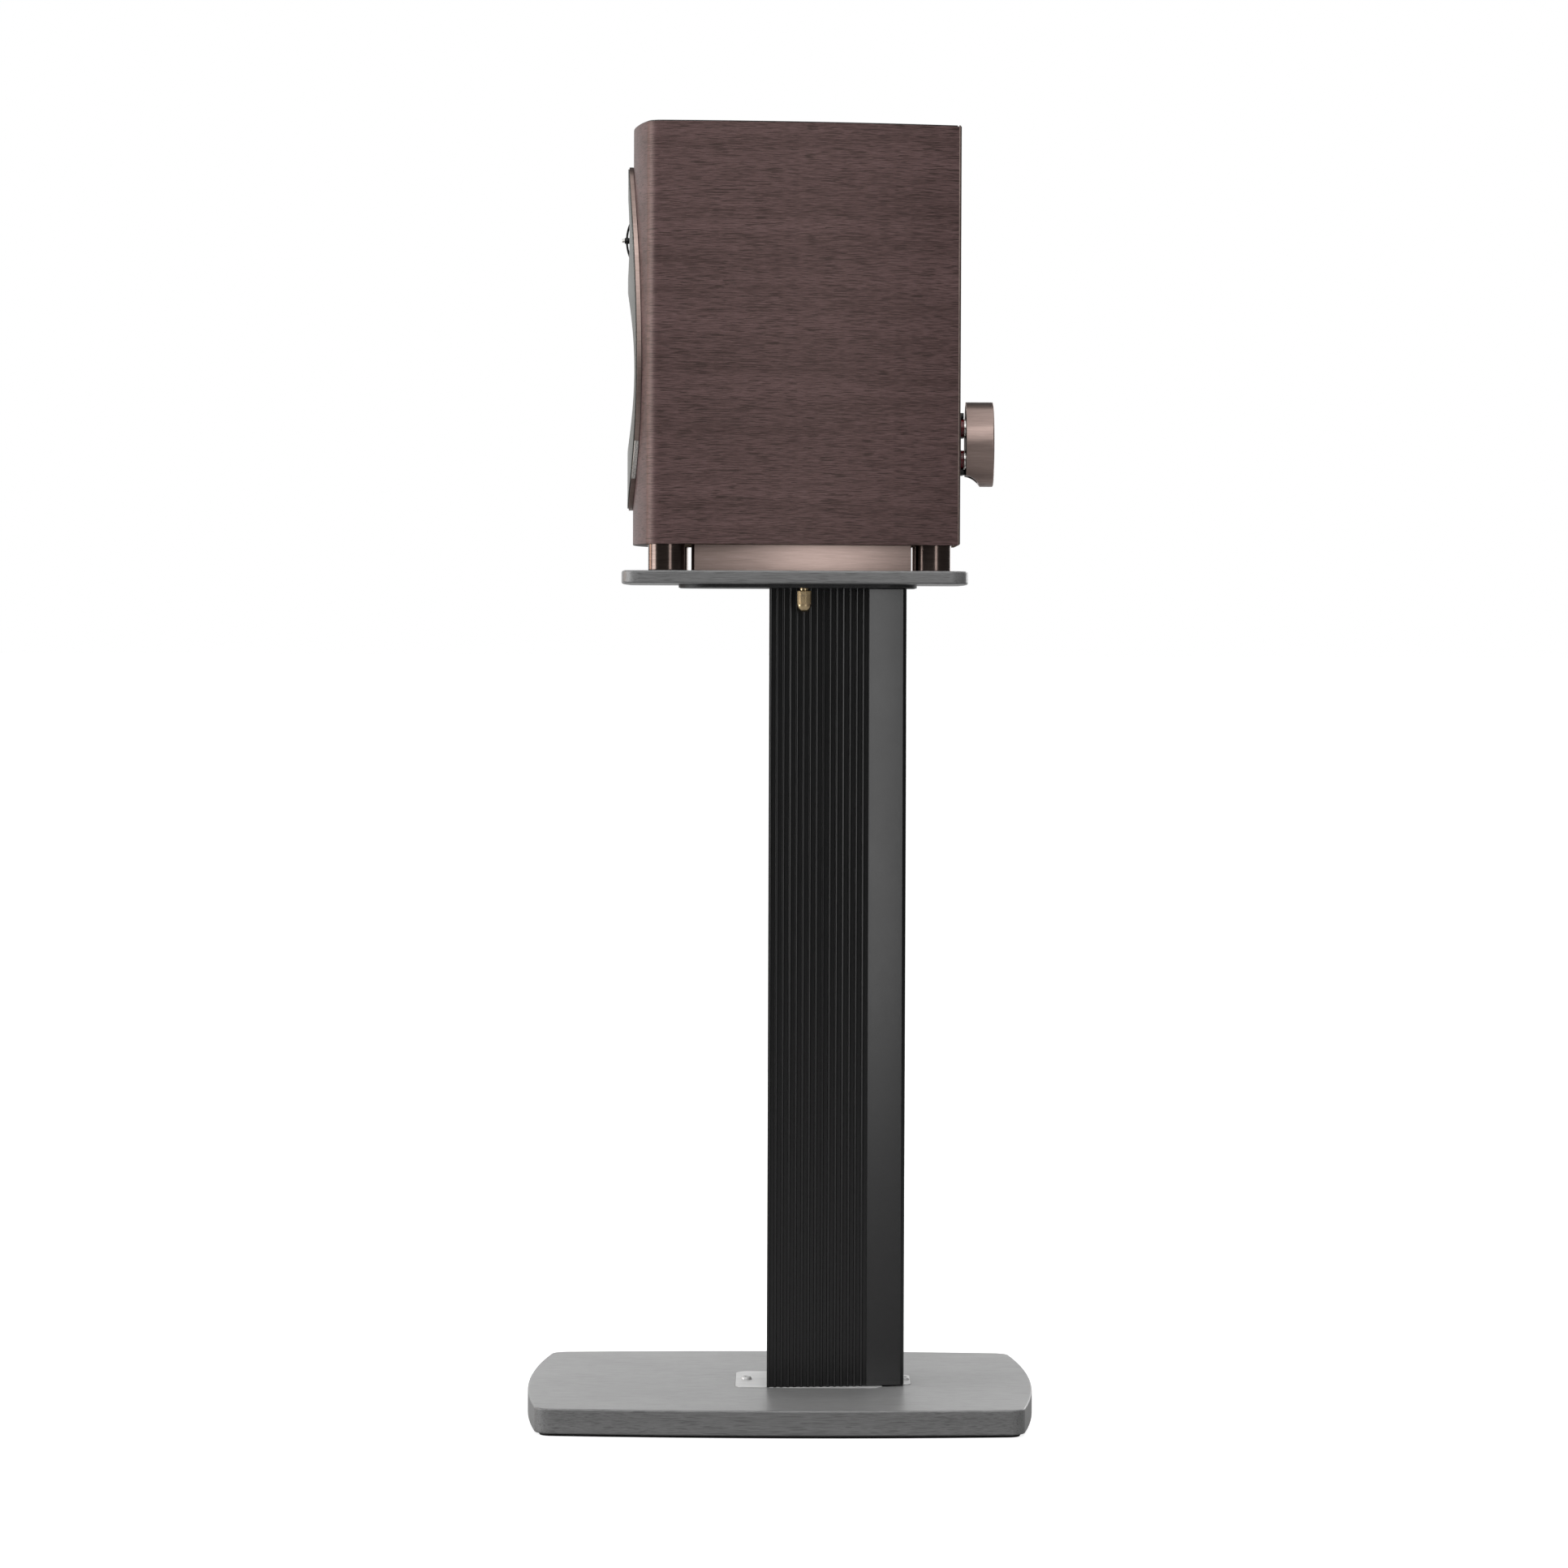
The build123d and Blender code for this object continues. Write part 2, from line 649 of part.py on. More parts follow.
with BuildPart() as rear_panel:
    with BuildSketch(Plane.XY.offset(CAVITY_Z)):
        tapered_region(half_width, WALL, REAR_Y - REAR_PANEL_T, REAR_Y)
    extrude(amount=CAVITY_H)
    with BuildSketch(Plane.XZ.offset(-REAR_Y)):
        with Locations((0, TERMINAL_Z)):
            Rectangle(CUTOUT, CUTOUT)
    extrude(amount=REAR_PANEL_T, mode=Mode.SUBTRACT)
    with BuildSketch(Plane.XZ.offset(-REAR_Y)):
        with Locations(*REAR_SCREWS, *TERMINAL_SCREWS):
            Circle(SCREW_R)
    extrude(amount=REAR_SCREW_DEPTH, mode=Mode.SUBTRACT)
save("rear_panel", rear_panel)

with BuildPart() as rear_trim_plate:
    with BuildSketch(Plane.XZ.offset(-REAR_Y)):
        with Locations((0, (CABINET_Z + CABINET_TOP) / 2)):
            Rectangle(2 * REAR_HALF_WIDTH, CABINET_H)
    extrude(amount=-TRIM_T)
    chamfer(faces().sort_by(Axis.Y)[-1].edges(), TRIM_EDGE)
    with BuildSketch(Plane.XZ.offset(-REAR_Y)):
        with Locations((0, TERMINAL_Z)):
            Rectangle(CUTOUT, CUTOUT)
        with Locations(*TERMINAL_SCREWS):
            Circle(SCREW_R)
    extrude(amount=-TRIM_T, mode=Mode.SUBTRACT)
    countersunk_holes(REAR_SCREWS, REAR_Y + TRIM_T, REAR_SCREW_DEPTH)
save("rear_trim_plate", rear_trim_plate)

SUB_BAFFLE_HOLES = (60.5, 28.2)
with BuildPart() as sub_baffle:
    with BuildSketch(Plane.XY.offset(CAVITY_Z)):
        tapered_region(half_width, WALL, BAFFLE_FACE_Y, BAFFLE_FACE_Y + SUB_BAFFLE_T)
    extrude(amount=CAVITY_H)
    front_cut(BAFFLE_FACE_Y, SUB_BAFFLE_T, *SUB_BAFFLE_HOLES)
    with BuildSketch(Plane.XZ.offset(-BAFFLE_FACE_Y)):
        with Locations(*DRIVER_SCREWS, *TWEETER_SCREWS):
            Circle(SCREW_R)
    extrude(amount=-SUB_BAFFLE_T, mode=Mode.SUBTRACT)
save("sub_baffle", sub_baffle)

BRACE_Z = 926.0
BRACE_T = 12.0
BRACE_WINDOW = (90.0, 156.0, 20.0)
BRACE_WINDOW_Y = 18.0
with BuildPart() as window_brace:
    with BuildSketch(Plane.XY.offset(BRACE_Z)):
        tapered_region(
            half_width, WALL, BAFFLE_FACE_Y + SUB_BAFFLE_T, REAR_Y - REAR_PANEL_T
        )
        with Locations((0, BRACE_WINDOW_Y)):
            RectangleRounded(*BRACE_WINDOW, mode=Mode.SUBTRACT)
    extrude(amount=BRACE_T)
save("window_brace", window_brace)

PAD_CLEAR = 0.3
PAD_THICK = 12.0
SIDE_PAD_Y = (-55.0, 105.0)
SIDE_PAD_Z = (745.0, 920.0)
TOP_PAD_Y = (-40.0, 118.0)
TOP_PAD_Z = (1005.0, 1046.0)
with BuildPart() as damping_wadding:
    with BuildSketch(Plane.XY.offset(SIDE_PAD_Z[0])):
        tapered_region(half_width, WALL + PAD_CLEAR, *SIDE_PAD_Y)
        with BuildSketch(mode=Mode.PRIVATE) as middle_space:
            tapered_region(
                half_width, WALL + PAD_THICK, SIDE_PAD_Y[0] - 1, SIDE_PAD_Y[1] + 1
            )
        add(middle_space.sketch, mode=Mode.SUBTRACT)
    extrude(amount=SIDE_PAD_Z[1] - SIDE_PAD_Z[0])
    with BuildSketch(Plane.XY.offset(TOP_PAD_Z[0])):
        tapered_region(half_width, WALL + PAD_CLEAR, *TOP_PAD_Y)
    extrude(amount=TOP_PAD_Z[1] - TOP_PAD_Z[0])
save("damping_wadding", damping_wadding)

PORT_FLARE_H = 12.0
PORT_FLARE_BULGE = 2.2
with BuildPart() as port_tube:
    with BuildSketch(Plane((*PORT_CENTRE, 0), x_dir=(1, 0, 0), z_dir=(0, -1, 0))):
        with BuildLine():
            Polyline(
                (PORT_MOUTH_R, CABINET_Z),
                (PORT_COLLAR_R, CABINET_Z),
                (PORT_COLLAR_R, CABINET_Z + PORT_COLLAR_H),
                (PORT_TUBE_R, CABINET_Z + PORT_COLLAR_H),
                (PORT_TUBE_R, PORT_TOP),
                (PORT_R, PORT_TOP),
                (PORT_R, CABINET_Z + PORT_FLARE_H),
            )
            ThreePointArc(
                (PORT_R, CABINET_Z + PORT_FLARE_H),
                (PORT_R + PORT_FLARE_BULGE, CABINET_Z + PORT_FLARE_H / 3),
                (PORT_MOUTH_R, CABINET_Z),
            )
        make_face()
    revolve(axis=Axis((*PORT_CENTRE, 0), (0, 0, 1)))
save("port_tube", port_tube)

# ------------------------------------------------------------------ front plate
PLAQUE_Z = (775.0, 806.4)
PLAQUE_DEPTH = 1.0
PLAQUE_PROUD = 0.6
PLAQUE_GAP = 0.3
FRONT_BLANK_Y = -140.0
FRONT_BLANK_T = 30.0


def plaque_band(inner_inset, outer_inset, z_low, z_high):
    """Band along both sides of the egg between two heights, run front to back."""
    front = bow_y(0, FASCIA_SHELL[1]) - 1
    with BuildSketch(Plane.XZ.offset(-front)) as band:
        egg_outline(outer_inset)
        with BuildSketch(mode=Mode.PRIVATE) as core:
            egg_outline(inner_inset)
        add(core.sketch, mode=Mode.SUBTRACT)
        with Locations((0, (z_low + z_high) / 2)):
            Rectangle(4 * PLATE_HALF_WIDTH, z_high - z_low, mode=Mode.INTERSECT)
    return band.sketch


with BuildPart() as front_plate:
    with BuildSketch(Plane.XZ.offset(-FRONT_BLANK_Y)):
        egg_outline(0)
    extrude(amount=-FRONT_BLANK_T)
    bowed_shell(*PLATE_SHELL)
    front_cut(FRONT_BLANK_Y, FRONT_BLANK_T, WOOFER_OPENING_R, TWEETER_OPENING_R)
    extrude(
        plaque_band(PLAQUE_DEPTH, -1, *PLAQUE_Z),
        amount=-FRONT_BLANK_T,
        mode=Mode.SUBTRACT,
    )
save("front_plate", front_plate)

FASCIA_INSET = 1.6
FASCIA_OPENINGS = (67.3, 35.6)
with BuildPart() as front_fascia:
    with BuildSketch(Plane.XZ.offset(-FRONT_BLANK_Y)):
        egg_outline(FASCIA_INSET)
    extrude(amount=-FRONT_BLANK_T)
    bowed_shell(*FASCIA_SHELL)
    front_cut(FRONT_BLANK_Y, FRONT_BLANK_T, *FASCIA_OPENINGS)
save("front_fascia", front_fascia)

with BuildPart() as side_plaques:
    band = plaque_band(
        PLAQUE_DEPTH, -PLAQUE_PROUD, PLAQUE_Z[0] + PLAQUE_GAP, PLAQUE_Z[1] - PLAQUE_GAP
    )
    extrude(band, amount=-FRONT_BLANK_T)
    bowed_shell(*PLATE_SHELL)
save("side_plaques", side_plaques)


# ----------------------------------------------------------------------- woofer
# Radii and depths behind the flange's face, in the driver's half plane.
def turned(label, plane, axis, points):
    """Revolve one closed outline of (radius, depth) points into a finished piece."""
    with BuildPart() as piece:
        with BuildSketch(plane):
            with BuildLine():
                Polyline(*points, close=True)
            make_face()
        revolve(axis=axis)
    save(label, piece)


CONE_RIM_R = 50.7
COIL_R = 16.4
LEDGE_DEPTH = 25.0
MOTOR_DEPTH = 43.0
GAP_DEPTH = 49.0
MAGNET_DEPTH = 69.0
BASKET_R = 66.0
BASKET_BORE_R = 57.5
BASKET_FLANGE_T = 5.0
SPIDER_SEAT_R = 41.0
BASKET_NECK_R = 44.0
BASKET_WINDOW = (13.0, 26.0)
BASKET_WINDOW_PCR = 51.0
with BuildPart() as woofer_basket:
    with BuildSketch(WOOFER_PLANE):
        with BuildLine():
            Polyline(
                (BASKET_R, 0),
                (BASKET_BORE_R, 0),
                (BASKET_BORE_R, BASKET_FLANGE_T - 1),
                (SPIDER_SEAT_R, LEDGE_DEPTH - 1),
                (SPIDER_SEAT_R, LEDGE_DEPTH),
                (37.5, LEDGE_DEPTH),
                (37.5, LEDGE_DEPTH + 2),
                (SPIDER_SEAT_R, LEDGE_DEPTH + 2),
                (SPIDER_SEAT_R, MOTOR_DEPTH - 2),
                (24, MOTOR_DEPTH - 2),
                (24, MOTOR_DEPTH),
                (BASKET_NECK_R, MOTOR_DEPTH),
                (BASKET_NECK_R, LEDGE_DEPTH + 2),
                (60.2, BASKET_FLANGE_T),
                (BASKET_R, BASKET_FLANGE_T),
                close=True,
            )
        make_face()
    revolve(axis=WOOFER_AXIS)
    with BuildSketch(Plane.XZ.offset(-WOOFER_FACE_Y - 6)):
        with Locations((0, WOOFER_Z)):
            with PolarLocations(BASKET_WINDOW_PCR, 6, start_angle=30):
                Rectangle(*BASKET_WINDOW)
    extrude(amount=-(LEDGE_DEPTH - 9), mode=Mode.SUBTRACT)
    with BuildSketch(Plane.XZ.offset(-WOOFER_FACE_Y)):
        with Locations(*DRIVER_SCREWS):
            Circle(SCREW_R)
    extrude(amount=-BASKET_FLANGE_T, mode=Mode.SUBTRACT)
save("woofer_basket", woofer_basket)

turned(
    "woofer_cone",
    WOOFER_PLANE,
    WOOFER_AXIS,
    [
        (CONE_RIM_R, 0),
        (CONE_RIM_R, 1.1),
        (COIL_R, 19.0),
        (COIL_R, 17.8),
        (49.2, 0.6),
        (49.6, 0),
    ],
)
turned(
    "woofer_voice_coil",
    WOOFER_PLANE,
    WOOFER_AXIS,
    [(16, 18), (COIL_R, 18), (COIL_R, 39), (17.2, 39), (17.2, 53), (16, 53)],
)
turned(
    "woofer_top_plate",
    WOOFER_PLANE,
    WOOFER_AXIS,
    [(17.7, MOTOR_DEPTH), (45, MOTOR_DEPTH), (45, GAP_DEPTH), (17.7, GAP_DEPTH)],
)
turned(
    "woofer_magnet",
    WOOFER_PLANE,
    WOOFER_AXIS,
    [(22, GAP_DEPTH), (47, GAP_DEPTH), (47, MAGNET_DEPTH), (22, MAGNET_DEPTH)],
)
turned(
    "woofer_yoke",
    WOOFER_PLANE,
    WOOFER_AXIS,
    [
        (5, MOTOR_DEPTH),
        (15.5, MOTOR_DEPTH),
        (15.5, MAGNET_DEPTH),
        (45, MAGNET_DEPTH),
        (45, MAGNET_DEPTH + 7),
        (5, MAGNET_DEPTH + 7),
    ],
)

WAVE_COUNT = 8
WAVE_STEP = 2.4
WAVE_MID = 1.5
WAVE_RISE = 0.7
SPIDER_T = 0.6
spider_top = [
    (COIL_R + 0.8 + i * WAVE_STEP, LEDGE_DEPTH - WAVE_MID + (-1) ** i * WAVE_RISE)
    for i in range(WAVE_COUNT + 1)
]
spider_line = [(COIL_R, LEDGE_DEPTH - WAVE_MID), *spider_top]
spider_line.append((38, LEDGE_DEPTH - SPIDER_T))
spider_line.append((41, LEDGE_DEPTH - SPIDER_T))
turned(
    "woofer_spider",
    WOOFER_PLANE,
    WOOFER_AXIS,
    spider_line + [(r, depth + SPIDER_T) for r, depth in reversed(spider_line)],
)

CAP_RIM = (20.0, 15.8)
CAP_APEX = 8.5
CAP_THICK = 0.6
with BuildPart() as woofer_dust_cap:
    with BuildSketch(WOOFER_PLANE):
        with BuildLine():
            dome_arc(*CAP_RIM, CAP_APEX)
            dome_arc(CAP_RIM[0] - CAP_THICK, CAP_RIM[1], CAP_APEX + CAP_THICK)
            Line((0, CAP_APEX), (0, CAP_APEX + CAP_THICK))
            Line(CAP_RIM, (CAP_RIM[0] - CAP_THICK, CAP_RIM[1]))
        make_face()
    revolve(axis=WOOFER_AXIS)
save("woofer_dust_cap", woofer_dust_cap)

ROLL_CENTRE_R = 54.35
ROLL_R = 4.3
ROLL_T = 0.7
with BuildPart() as woofer_surround:
    with BuildSketch(WOOFER_PLANE):
        with Locations((ROLL_CENTRE_R, 0)):
            Circle(ROLL_R)
            Circle(ROLL_R - ROLL_T, mode=Mode.SUBTRACT)
        with Locations((ROLL_CENTRE_R, ROLL_R)):
            Rectangle(3 * ROLL_R, 2 * ROLL_R, mode=Mode.SUBTRACT)
        ring_profile(ROLL_CENTRE_R + ROLL_R - ROLL_T / 2, 60.6, -ROLL_T, 0)
    revolve(axis=WOOFER_AXIS)
save("woofer_surround", woofer_surround)

# ---------------------------------------------------------------------- tweeter
FACE_RIM_R = 33.2
THROAT_R = 16.6
THROAT_DEPTH = 5.6
SEAT_DEPTH = BAFFLE_FACE_Y - TWEETER_FACE_Y
DOME_R = 14.0
DOME_DEPTH = 6.3
DOME_APEX = 0.3
DOME_T = 0.3
with BuildPart() as tweeter_faceplate:
    with BuildSketch(TWEETER_PLANE):
        with BuildLine():
            Polyline(
                (FACE_RIM_R, 0),
                (TWEETER_OPENING_R - 0.3, 0),
                (TWEETER_OPENING_R - 0.3, SEAT_DEPTH),
                (THROAT_R, SEAT_DEPTH),
                (THROAT_R, THROAT_DEPTH),
            )
            ThreePointArc((THROAT_R, THROAT_DEPTH), (24.5, 3.4), (FACE_RIM_R, 0))
        make_face()
    revolve(axis=TWEETER_AXIS)
    with BuildSketch(Plane.XZ.offset(-BAFFLE_FACE_Y)):
        with Locations(*TWEETER_SCREWS):
            Circle(SCREW_R)
    extrude(amount=2, mode=Mode.SUBTRACT)
save("tweeter_faceplate", tweeter_faceplate)

with BuildPart() as tweeter_dome:
    with BuildSketch(TWEETER_PLANE):
        with BuildLine():
            dome_arc(DOME_R, DOME_DEPTH, DOME_APEX)
            dome_arc(DOME_R - DOME_T - 0.1, DOME_DEPTH, DOME_APEX + DOME_T)
            Line((0, DOME_APEX), (0, DOME_APEX + DOME_T))
            Polyline(
                (DOME_R, DOME_DEPTH),
                (DOME_R, 17),
                (DOME_R - DOME_T - 0.1, 17),
                (DOME_R - DOME_T - 0.1, DOME_DEPTH),
            )
        make_face()
    revolve(axis=TWEETER_AXIS)
save("tweeter_dome", tweeter_dome)

TWEETER_ROLL = (15.3, 1.3, 0.3)
with BuildPart() as tweeter_surround:
    with BuildSketch(TWEETER_PLANE):
        with Locations((TWEETER_ROLL[0], DOME_DEPTH)):
            Circle(TWEETER_ROLL[1])
            Circle(TWEETER_ROLL[1] - TWEETER_ROLL[2], mode=Mode.SUBTRACT)
        with Locations((TWEETER_ROLL[0], DOME_DEPTH + 2)):
            Rectangle(6, 4, mode=Mode.SUBTRACT)
    revolve(axis=TWEETER_AXIS)
save("tweeter_surround", tweeter_surround)

POLE_R = 13.1
GAP_R = 14.5
MOTOR_R = 28.0
turned(
    "tweeter_motor",
    TWEETER_PLANE,
    TWEETER_AXIS,
    [
        (0, 9),
        (POLE_R, 9),
        (POLE_R, 25),
        (GAP_R, 25),
        (GAP_R, SEAT_DEPTH),
        (MOTOR_R, SEAT_DEPTH),
        (MOTOR_R, SEAT_DEPTH + 22),
        (0, SEAT_DEPTH + 22),
    ],
)

BRIDGE_R = 37.0
BRIDGE_T = 1.7
BRIDGE_WIDTH = 2.4
BRIDGE_APEX_Y = -131.6
BRIDGE_FOOT = 23.6
HUB_R = 2.5
HUB_Y = (-132.5, -128.5)
TIP_R = 1.6
TIP_Y = -134.9
with BuildPart() as tweeter_bridge:
    with BuildSketch(Plane.YZ.offset(-BRIDGE_WIDTH / 2)):
        with Locations((BRIDGE_APEX_Y + BRIDGE_R, TWEETER_Z)):
            Circle(BRIDGE_R)
            Circle(BRIDGE_R - BRIDGE_T, mode=Mode.SUBTRACT)
        with Locations((BRIDGE_APEX_Y, TWEETER_Z)):
            Rectangle(2 * BRIDGE_R, 2 * BRIDGE_FOOT, mode=Mode.INTERSECT)
    extrude(amount=BRIDGE_WIDTH)
    add(tweeter_faceplate.part, mode=Mode.SUBTRACT)
    with BuildSketch(Plane.XZ.offset(-HUB_Y[1])):
        with Locations((0, TWEETER_Z)):
            Circle(HUB_R)
    extrude(amount=HUB_Y[1] - HUB_Y[0])
    with BuildSketch(Plane.XZ.offset(-HUB_Y[0])):
        with Locations((0, TWEETER_Z)):
            Circle(TIP_R)
    extrude(amount=HUB_Y[0] - TIP_Y)
    fillet(edges().group_by(Axis.Y)[0], radius=1.0)
save("tweeter_bridge", tweeter_bridge)

DRIVER_SCREW_LENGTH = 22.0
DRIVER_HEAD_R = 2.6
DRIVER_HEAD_H = 1.6
TWEETER_SCREW_HEAD_Y = BAFFLE_FACE_Y + SUB_BAFFLE_T
with BuildPart() as driver_screws:
    for centres, seat, way in (
        (DRIVER_SCREWS, WOOFER_FACE_Y, -1),
        (TWEETER_SCREWS, TWEETER_SCREW_HEAD_Y, 1),
    ):
        with BuildSketch(Plane.XZ.offset(-seat)):
            with Locations(*centres):
                Circle(SCREW_R)
        extrude(amount=way * DRIVER_SCREW_LENGTH)
        with BuildSketch(Plane.XZ.offset(-seat)):
            with Locations(*centres):
                Circle(DRIVER_HEAD_R)
        extrude(amount=-way * DRIVER_HEAD_H)
save("driver_screws", driver_screws)

# -------------------------------------------------------------------- crossover
BOARD_Y = 118.0
BOARD_T = 1.6
BOARD_Z = (832.0, 912.0)
BOARD_HALF_WIDTH = 33.0
STAND_OFF_R = 3.0
STAND_OFFS = [(x, z) for x in (29, -29) for z in (836, 908)]
with BuildPart() as crossover_board:
    with BuildSketch(Plane.XZ.offset(-BOARD_Y)):
        with Locations((0, (BOARD_Z[0] + BOARD_Z[1]) / 2)):
            RectangleRounded(2 * BOARD_HALF_WIDTH, BOARD_Z[1] - BOARD_Z[0], 2)
    extrude(amount=-BOARD_T)
    with BuildSketch(Plane.XZ.offset(-BOARD_Y - BOARD_T)):
        with Locations(*STAND_OFFS):
            Circle(STAND_OFF_R)
    extrude(amount=-(REAR_Y - REAR_PANEL_T - BOARD_Y - BOARD_T))
save("crossover_board", crossover_board)

COILS = [((-15, 889), 16, 7, 15), ((17, 857), 12, 5, 12)]
with BuildPart() as crossover_coils:
    for centre, outer, inner, height in COILS:
        with BuildSketch(Plane.XZ.offset(-BOARD_Y)):
            with Locations(centre):
                Circle(outer)
                Circle(inner, mode=Mode.SUBTRACT)
        extrude(amount=height)
    chamfer(edges().filter_by(GeomType.CIRCLE).group_by(Axis.Y)[0], 0.8)
save("crossover_coils", crossover_coils)

CAPACITORS = [(4, 32, 896, 7), (4, 32, 878, 7), (-31, -3, 861, 8)]
with BuildPart() as crossover_capacitors:
    for x_low, x_high, z, radius in CAPACITORS:
        with BuildSketch(Plane.YZ.offset(x_low)):
            with Locations((BOARD_Y - radius, z)):
                Circle(radius)
        extrude(amount=x_high - x_low)
save("crossover_capacitors", crossover_capacitors)

with BuildPart() as crossover_resistors:
    with BuildSketch(Plane.XZ.offset(-BOARD_Y)):
        with Locations((-17, 849.2)):
            Rectangle(24, 6)
        with Locations((17, 841)):
            Rectangle(24, 6)
    extrude(amount=6)
save("crossover_resistors", crossover_resistors)

# -------------------------------------------------------------- rear terminals
POSTS = {
    "upper_red": (POST_X, TERMINAL_Z + POST_DZ),
    "upper_black": (-POST_X, TERMINAL_Z + POST_DZ),
    "lower_red": (POST_X, TERMINAL_Z - POST_DZ),
    "lower_black": (-POST_X, TERMINAL_Z - POST_DZ),
}
PLATE_Y = REAR_Y + TRIM_T
FLANGE_SIZE = 51.4
FLANGE_CORNER_R = 9.0
RIB_DZ = 23.2
RIB_SLOT = (36.0, 5.0)
WEB_SIZE = (14.0, 4.6)
TERMINAL_PLATE_T = 1.4
RIB_Y = 150.0
DISC_Y = (152.4, 154.4)
SCOOP_CENTRE = (150.0, 764.5)
SCOOP_R = 15.3
STEM_Y = (118.0, 172.5)
NUT_R = 7.5
INSULATOR_R = 7.7
INNER_NUT_Y = 138.0
NUT_T = 2.0
INNER_NUT_T = 4.0
INNER_NUT_R = 5.0


def at_posts():
    """Locations of the four binding posts on an upright plane."""
    return Locations(*POSTS.values())


def scoop():
    """Cut the cable scoop across the bottom of the shroud."""
    with BuildSketch(Plane.YZ.offset(-SHROUD_R - 1)) as mouth:
        with Locations(SCOOP_CENTRE):
            Circle(SCOOP_R)
    extrude(mouth.sketch, amount=2 * SHROUD_R + 2, mode=Mode.SUBTRACT)


with BuildPart() as terminal_plate:
    with BuildSketch(Plane.XZ.offset(-PLATE_Y)):
        with Locations((0, TERMINAL_Z)):
            RectangleRounded(FLANGE_SIZE, FLANGE_SIZE, FLANGE_CORNER_R)
    extrude(amount=-TERMINAL_PLATE_T)
    with BuildSketch(Plane.XZ.offset(-PLATE_Y)):
        with Locations((0, TERMINAL_Z)):
            Rectangle(CUTOUT - 0.2, CUTOUT - 0.2)
    extrude(amount=PLATE_Y - INNER_NUT_Y - INNER_NUT_T)
    with BuildSketch(Plane.XZ.offset(-PLATE_Y - TERMINAL_PLATE_T)):
        for dz in (RIB_DZ, -RIB_DZ):
            with Locations((0, TERMINAL_Z + dz)):
                SlotOverall(*RIB_SLOT)
    extrude(amount=-(RIB_Y - PLATE_Y - TERMINAL_PLATE_T))
    with BuildSketch(Plane.XZ.offset(-RIB_Y)):
        with Locations((0, TERMINAL_Z - RIB_DZ)):
            Rectangle(*WEB_SIZE)
    extrude(amount=-(DISC_Y[0] - RIB_Y))
    with BuildSketch(Plane.XZ.offset(-DISC_Y[0])):
        with Locations((0, TERMINAL_Z)):
            Circle(SHROUD_R - SHROUD_WALL)
    extrude(amount=-(DISC_Y[1] - DISC_Y[0]))
    scoop()
    with BuildSketch(Plane.XZ.offset(-INNER_NUT_Y)):
        with at_posts():
            Circle(STEM_R)
    extrude(amount=-(DISC_Y[1] - INNER_NUT_Y), mode=Mode.SUBTRACT)
    countersunk_holes(TERMINAL_SCREWS, PLATE_Y + TERMINAL_PLATE_T, REAR_SCREW_DEPTH)
save("terminal_plate", terminal_plate)

with BuildPart() as terminal_ring:
    with BuildSketch(Plane.XZ.offset(-SHROUD_Y[0])):
        with Locations((0, TERMINAL_Z)):
            Circle(SHROUD_R)
            Circle(SHROUD_R - SHROUD_WALL, mode=Mode.SUBTRACT)
    extrude(amount=-(SHROUD_Y[1] - SHROUD_Y[0]))
    fillet(edges().filter_by(GeomType.CIRCLE).group_by(Axis.Y)[-1], radius=SHROUD_EDGE)
    scoop()
save("terminal_ring", terminal_ring)

with BuildPart() as rear_screws:
    for centres, seat in (
        (REAR_SCREWS, REAR_Y + TRIM_T),
        (TERMINAL_SCREWS, PLATE_Y + TERMINAL_PLATE_T),
    ):
        for x, z in centres:
            with BuildSketch(Plane((x, seat, z), x_dir=(1, 0, 0), z_dir=(0, 0, 1))):
                with BuildLine():
                    Polyline(
                        (0, 0),
                        (REAR_HEAD_R, 0),
                        (SCREW_R, -REAR_HEAD_H),
                        (SCREW_R, -REAR_SCREW_DEPTH),
                        (0, -REAR_SCREW_DEPTH),
                        close=True,
                    )
                make_face()
            revolve(axis=Axis((x, seat, z), (0, 1, 0)))
save("rear_screws", rear_screws)

with BuildPart() as post_stems:
    with BuildSketch(Plane.XZ.offset(-STEM_Y[0])):
        with at_posts():
            Circle(STEM_R)
    extrude(amount=-(STEM_Y[1] - STEM_Y[0]))
    with BuildSketch(Plane.XZ.offset(-DISC_Y[0])):
        with at_posts():
            Circle(NUT_R)
    extrude(amount=NUT_T)
    with BuildSketch(Plane.XZ.offset(-INNER_NUT_Y)):
        with at_posts():
            RegularPolygon(radius=INNER_NUT_R, side_count=6, major_radius=False)
    extrude(amount=-INNER_NUT_T)
    with BuildSketch(Plane.XZ.offset(-STEM_Y[1])):
        with at_posts():
            Circle(BANANA_R)
    extrude(amount=BANANA_DEPTH, mode=Mode.SUBTRACT)
save("post_stems", post_stems)

with BuildPart() as post_insulators:
    with BuildSketch(Plane.XZ.offset(-PLATE_Y - TERMINAL_PLATE_T)):
        with at_posts():
            Circle(INSULATOR_R)
            Circle(STEM_R, mode=Mode.SUBTRACT)
    extrude(amount=-(DISC_Y[0] - NUT_T - PLATE_Y - TERMINAL_PLATE_T))
save("post_insulators", post_insulators)

